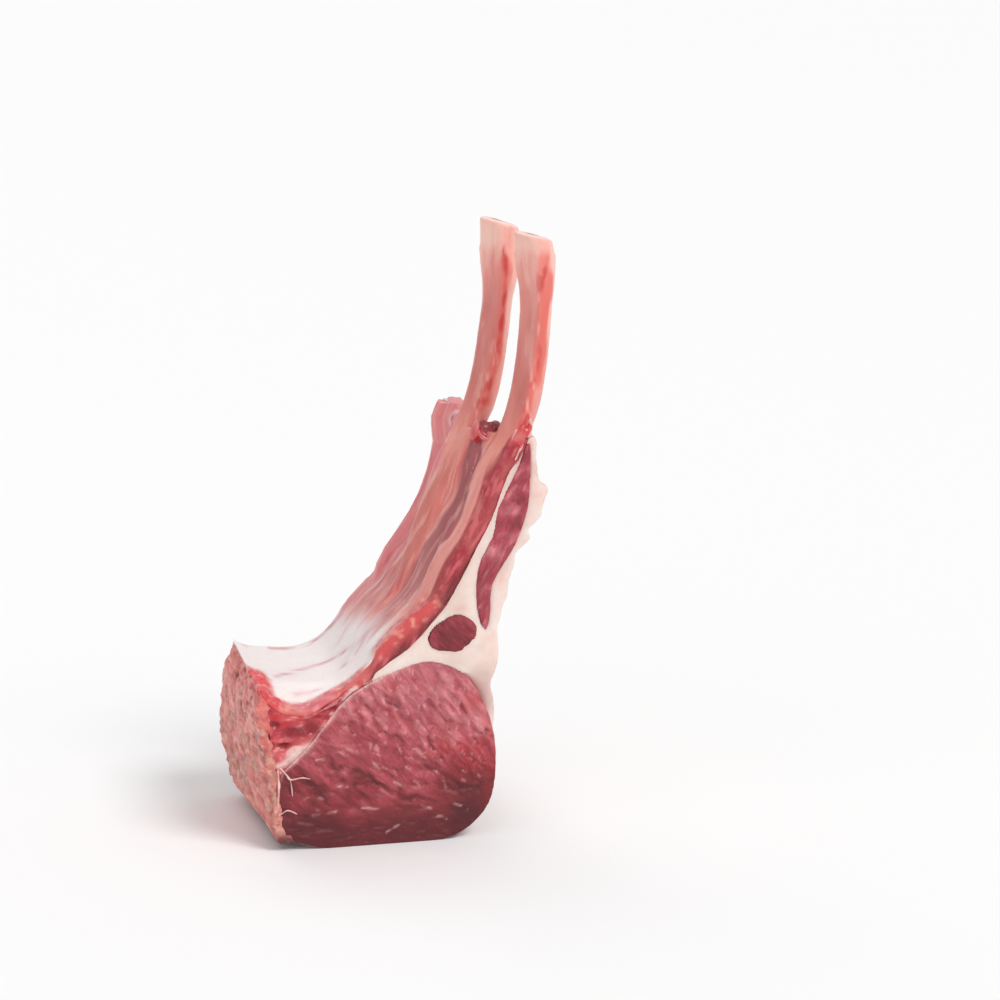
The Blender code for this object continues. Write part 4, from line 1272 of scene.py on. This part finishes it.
# each scrap: its path, its radius and which of the two reds it wears
scraps = [
    ([(39.6, -25.6, 131.0), (38.7, -26.6, 128.2), (37.4, -27.1, 125.0)], 0.75, "red"),
    ([(37.6, -27.0, 125.6), (36.2, -27.6, 123.4), (34.4, -27.9, 120.6)], 0.95, "red"),
    ([(38.9, -26.6, 124.8), (37.6, -27.6, 122.4), (35.4, -28.2, 119.6)], 0.9, "red"),
    ([(39.8, -26.4, 127.4), (39.4, -27.0, 124.2), (38.8, -27.5, 121.4)], 0.8, "pale"),
    ([(35.2, -27.4, 124.6), (33.8, -27.9, 121.4), (33.2, -28.2, 118.4)], 0.55, "pale"),
    ([(37.4, -27.9, 120.8), (36.0, -28.4, 118.2), (34.4, -28.6, 115.0)], 0.6, "pale"),
    ([(26.2, -14.6, 123.0), (27.2, -15.9, 120.6), (29.4, -16.8, 119.2), (31.6, -17.6, 118.8)], 0.7, "pink"),
]

# soft lumps of torn meat between the two long bones: place, radii, turn about Y and colour
lumps = [
    ((29.0, -12.0, 120.6), (4.6, 3.6, 3.0), 0.0, "red"),
    ((31.2, -13.2, 121.8), (2.6, 2.6, 2.4), -20.0, "wine"),
    ((28.6, -12.4, 122.0), (2.2, 2.8, 2.6), 10.0, "wine"),
    ((26.0, -13.0, 121.6), (1.3, 2.8, 3.4), 12.0, "pink"),
    ((32.8, -11.8, 122.6), (1.6, 2.8, 1.8), -30.0, "red"),
]


# the two loose pieces
looseShapes = {
    "fasciaStrings": {"paths": [item + ("pale",) for item in strings], "lumps": (),
                      "voxel": 0.16, "relax": 1, "slot": "fat"},
    "tornScraps": {"paths": scraps, "lumps": lumps,
                   "voxel": 0.28, "relax": 10, "slot": "muscle"},
}

tubeSides = 10


def addTube(joined, path, radius):
    # a closed round string along a smoothed path, thinner towards both ends
    line = smoothLine(path, 5)
    last = len(line) - 1
    rings = []
    for number, place in enumerate(line):
        along = Vector(line[min(number + 1, last)] - line[max(number - 1, 0)]).normalized()
        across = along.cross(Vector((0.0, 1.0, 0.0))).normalized()
        over = along.cross(across)
        size = radius * (0.35 + 0.65 * math.sin(math.pi * (0.08 + 0.84 * number / last)))
        ring = []
        for step in range(tubeSides):
            turn = 2.0 * math.pi * step / tubeSides
            offset = (across * math.cos(turn) + over * math.sin(turn)) * size
            ring.append(joined.verts.new((Vector(place) + offset) * mm))
        rings.append(ring)
    for ring, following in zip(rings, rings[1:]):
        for corner in range(tubeSides):
            there = (corner + 1) % tubeSides
            joined.faces.new((ring[corner], ring[there], following[there], following[corner]))
    joined.faces.new(rings[0][::-1])
    joined.faces.new(rings[-1])


def makeLooseBits():
    material = fleshMaterial(fasciaLook)
    for pieceName, shape in looseShapes.items():
        joined = bmesh.new()
        for path, radius, kind in shape["paths"]:
            addTube(joined, path, radius)
        for place, radii, turn, kind in shape["lumps"]:
            addShape(joined, blob(place, radii, turn))
        bmesh.ops.recalc_face_normals(joined, faces=joined.faces[:])
        piece = remeshed(pieceName, joined, shape["voxel"], shape["relax"])
        points, normals = readSkin(piece)
        bumps = layeredNoise(points, 2.6, 211, 2)
        points += normals * (bumps * shape["voxel"])[:, None]
        writeSkin(piece, points)
        setMask(piece, "tone", 0.5 + 0.4 * bumps)
        for kind in ("pink", "red", "wine"):
            amount = np.zeros(len(points))
            for path, radius, wears in shape["paths"]:
                if wears == kind:
                    far = nearestLine(points[:, 0], points[:, 2], [(a, c) for a, b, c in path])
                    amount = np.maximum(amount, ease(radius * 1.4, radius * 0.9, far))
            for place, radii, turn, wears in shape["lumps"]:
                if wears == kind:
                    apart = np.linalg.norm((points - place) / np.array(radii), axis=1)
                    amount = np.maximum(amount, ease(1.5, 0.95, apart))
            setMask(piece, kind, amount * (1.0 + 0.6 * bumps))
        finishPiece(piece, material, shape["slot"])


# floor, camera and lights

def makeFloor():
    bm = bmesh.new()
    bmesh.ops.create_circle(bm, cap_ends=True, segments=96, radius=12.0)
    mesh = bpy.data.meshes.new("floor")
    bm.to_mesh(mesh)
    bm.free()
    floor = bpy.data.objects.new("floor", mesh)
    scene.collection.objects.link(floor)
    material = bpy.data.materials.new("paleFloor")
    material.use_nodes = True
    shader = material.node_tree.nodes["Principled BSDF"]
    shader.inputs["Base Color"].default_value = (0.95, 0.95, 0.95, 1.0)
    shader.inputs["Roughness"].default_value = 0.9
    mesh.materials.append(material)


view = {"target": (30.0, -28.5, 103.5), "distance": 817.0, "azimuth": -13.0, "elevation": 12.0,
        "lens": 100.0}


def makeCamera():
    data = bpy.data.cameras.new("camera")
    data.lens = view["lens"]
    data.sensor_width = 36.0
    data.clip_start = 0.05
    data.clip_end = 60.0
    camera = bpy.data.objects.new("camera", data)
    scene.collection.objects.link(camera)
    azimuth, elevation = math.radians(view["azimuth"]), math.radians(view["elevation"])
    back = Vector((math.sin(azimuth) * math.cos(elevation), -math.cos(azimuth) * math.cos(elevation),
                   math.sin(elevation)))
    target = Vector(view["target"])
    camera.location = (target + back * view["distance"]) * mm
    camera.rotation_euler = back.to_track_quat("Z", "Y").to_euler()
    scene.camera = camera


lights = {
    # where each soft sun stands, how strong it is and how wide it looks, in degrees
    "key": {"from": (0.55, -0.75, 1.05), "strength": 1.5, "spread": 24.0},
    "fill": {"from": (-0.9, -0.8, 0.5), "strength": 0.25, "spread": 60.0},
    "back": {"from": (-0.2, 0.9, 0.8), "strength": 0.35, "spread": 40.0},
    "skyStrength": 0.58,
}


def makeLights():
    for lightName in ("key", "fill", "back"):
        setup = lights[lightName]
        data = bpy.data.lights.new(lightName, "SUN")
        data.energy = setup["strength"]
        data.angle = math.radians(setup["spread"])
        light = bpy.data.objects.new(lightName, data)
        scene.collection.objects.link(light)
        light.rotation_euler = Vector(setup["from"]).to_track_quat("Z", "Y").to_euler()
    world = bpy.data.worlds.new("studio")
    world.use_nodes = True
    background = world.node_tree.nodes["Background"]
    background.inputs["Color"].default_value = (1.0, 1.0, 1.0, 1.0)
    background.inputs["Strength"].default_value = lights["skyStrength"]
    scene.world = world
    scene.view_settings.view_transform = "Standard"


makeFloor()
makeCamera()
makeLights()
makeEyeMuscle()
makeSmallMuscles()
makeFatCover()
makeRibWall()
makeRibs()
makeChineBone()
makeBackboneMeat()
makeLooseBits()
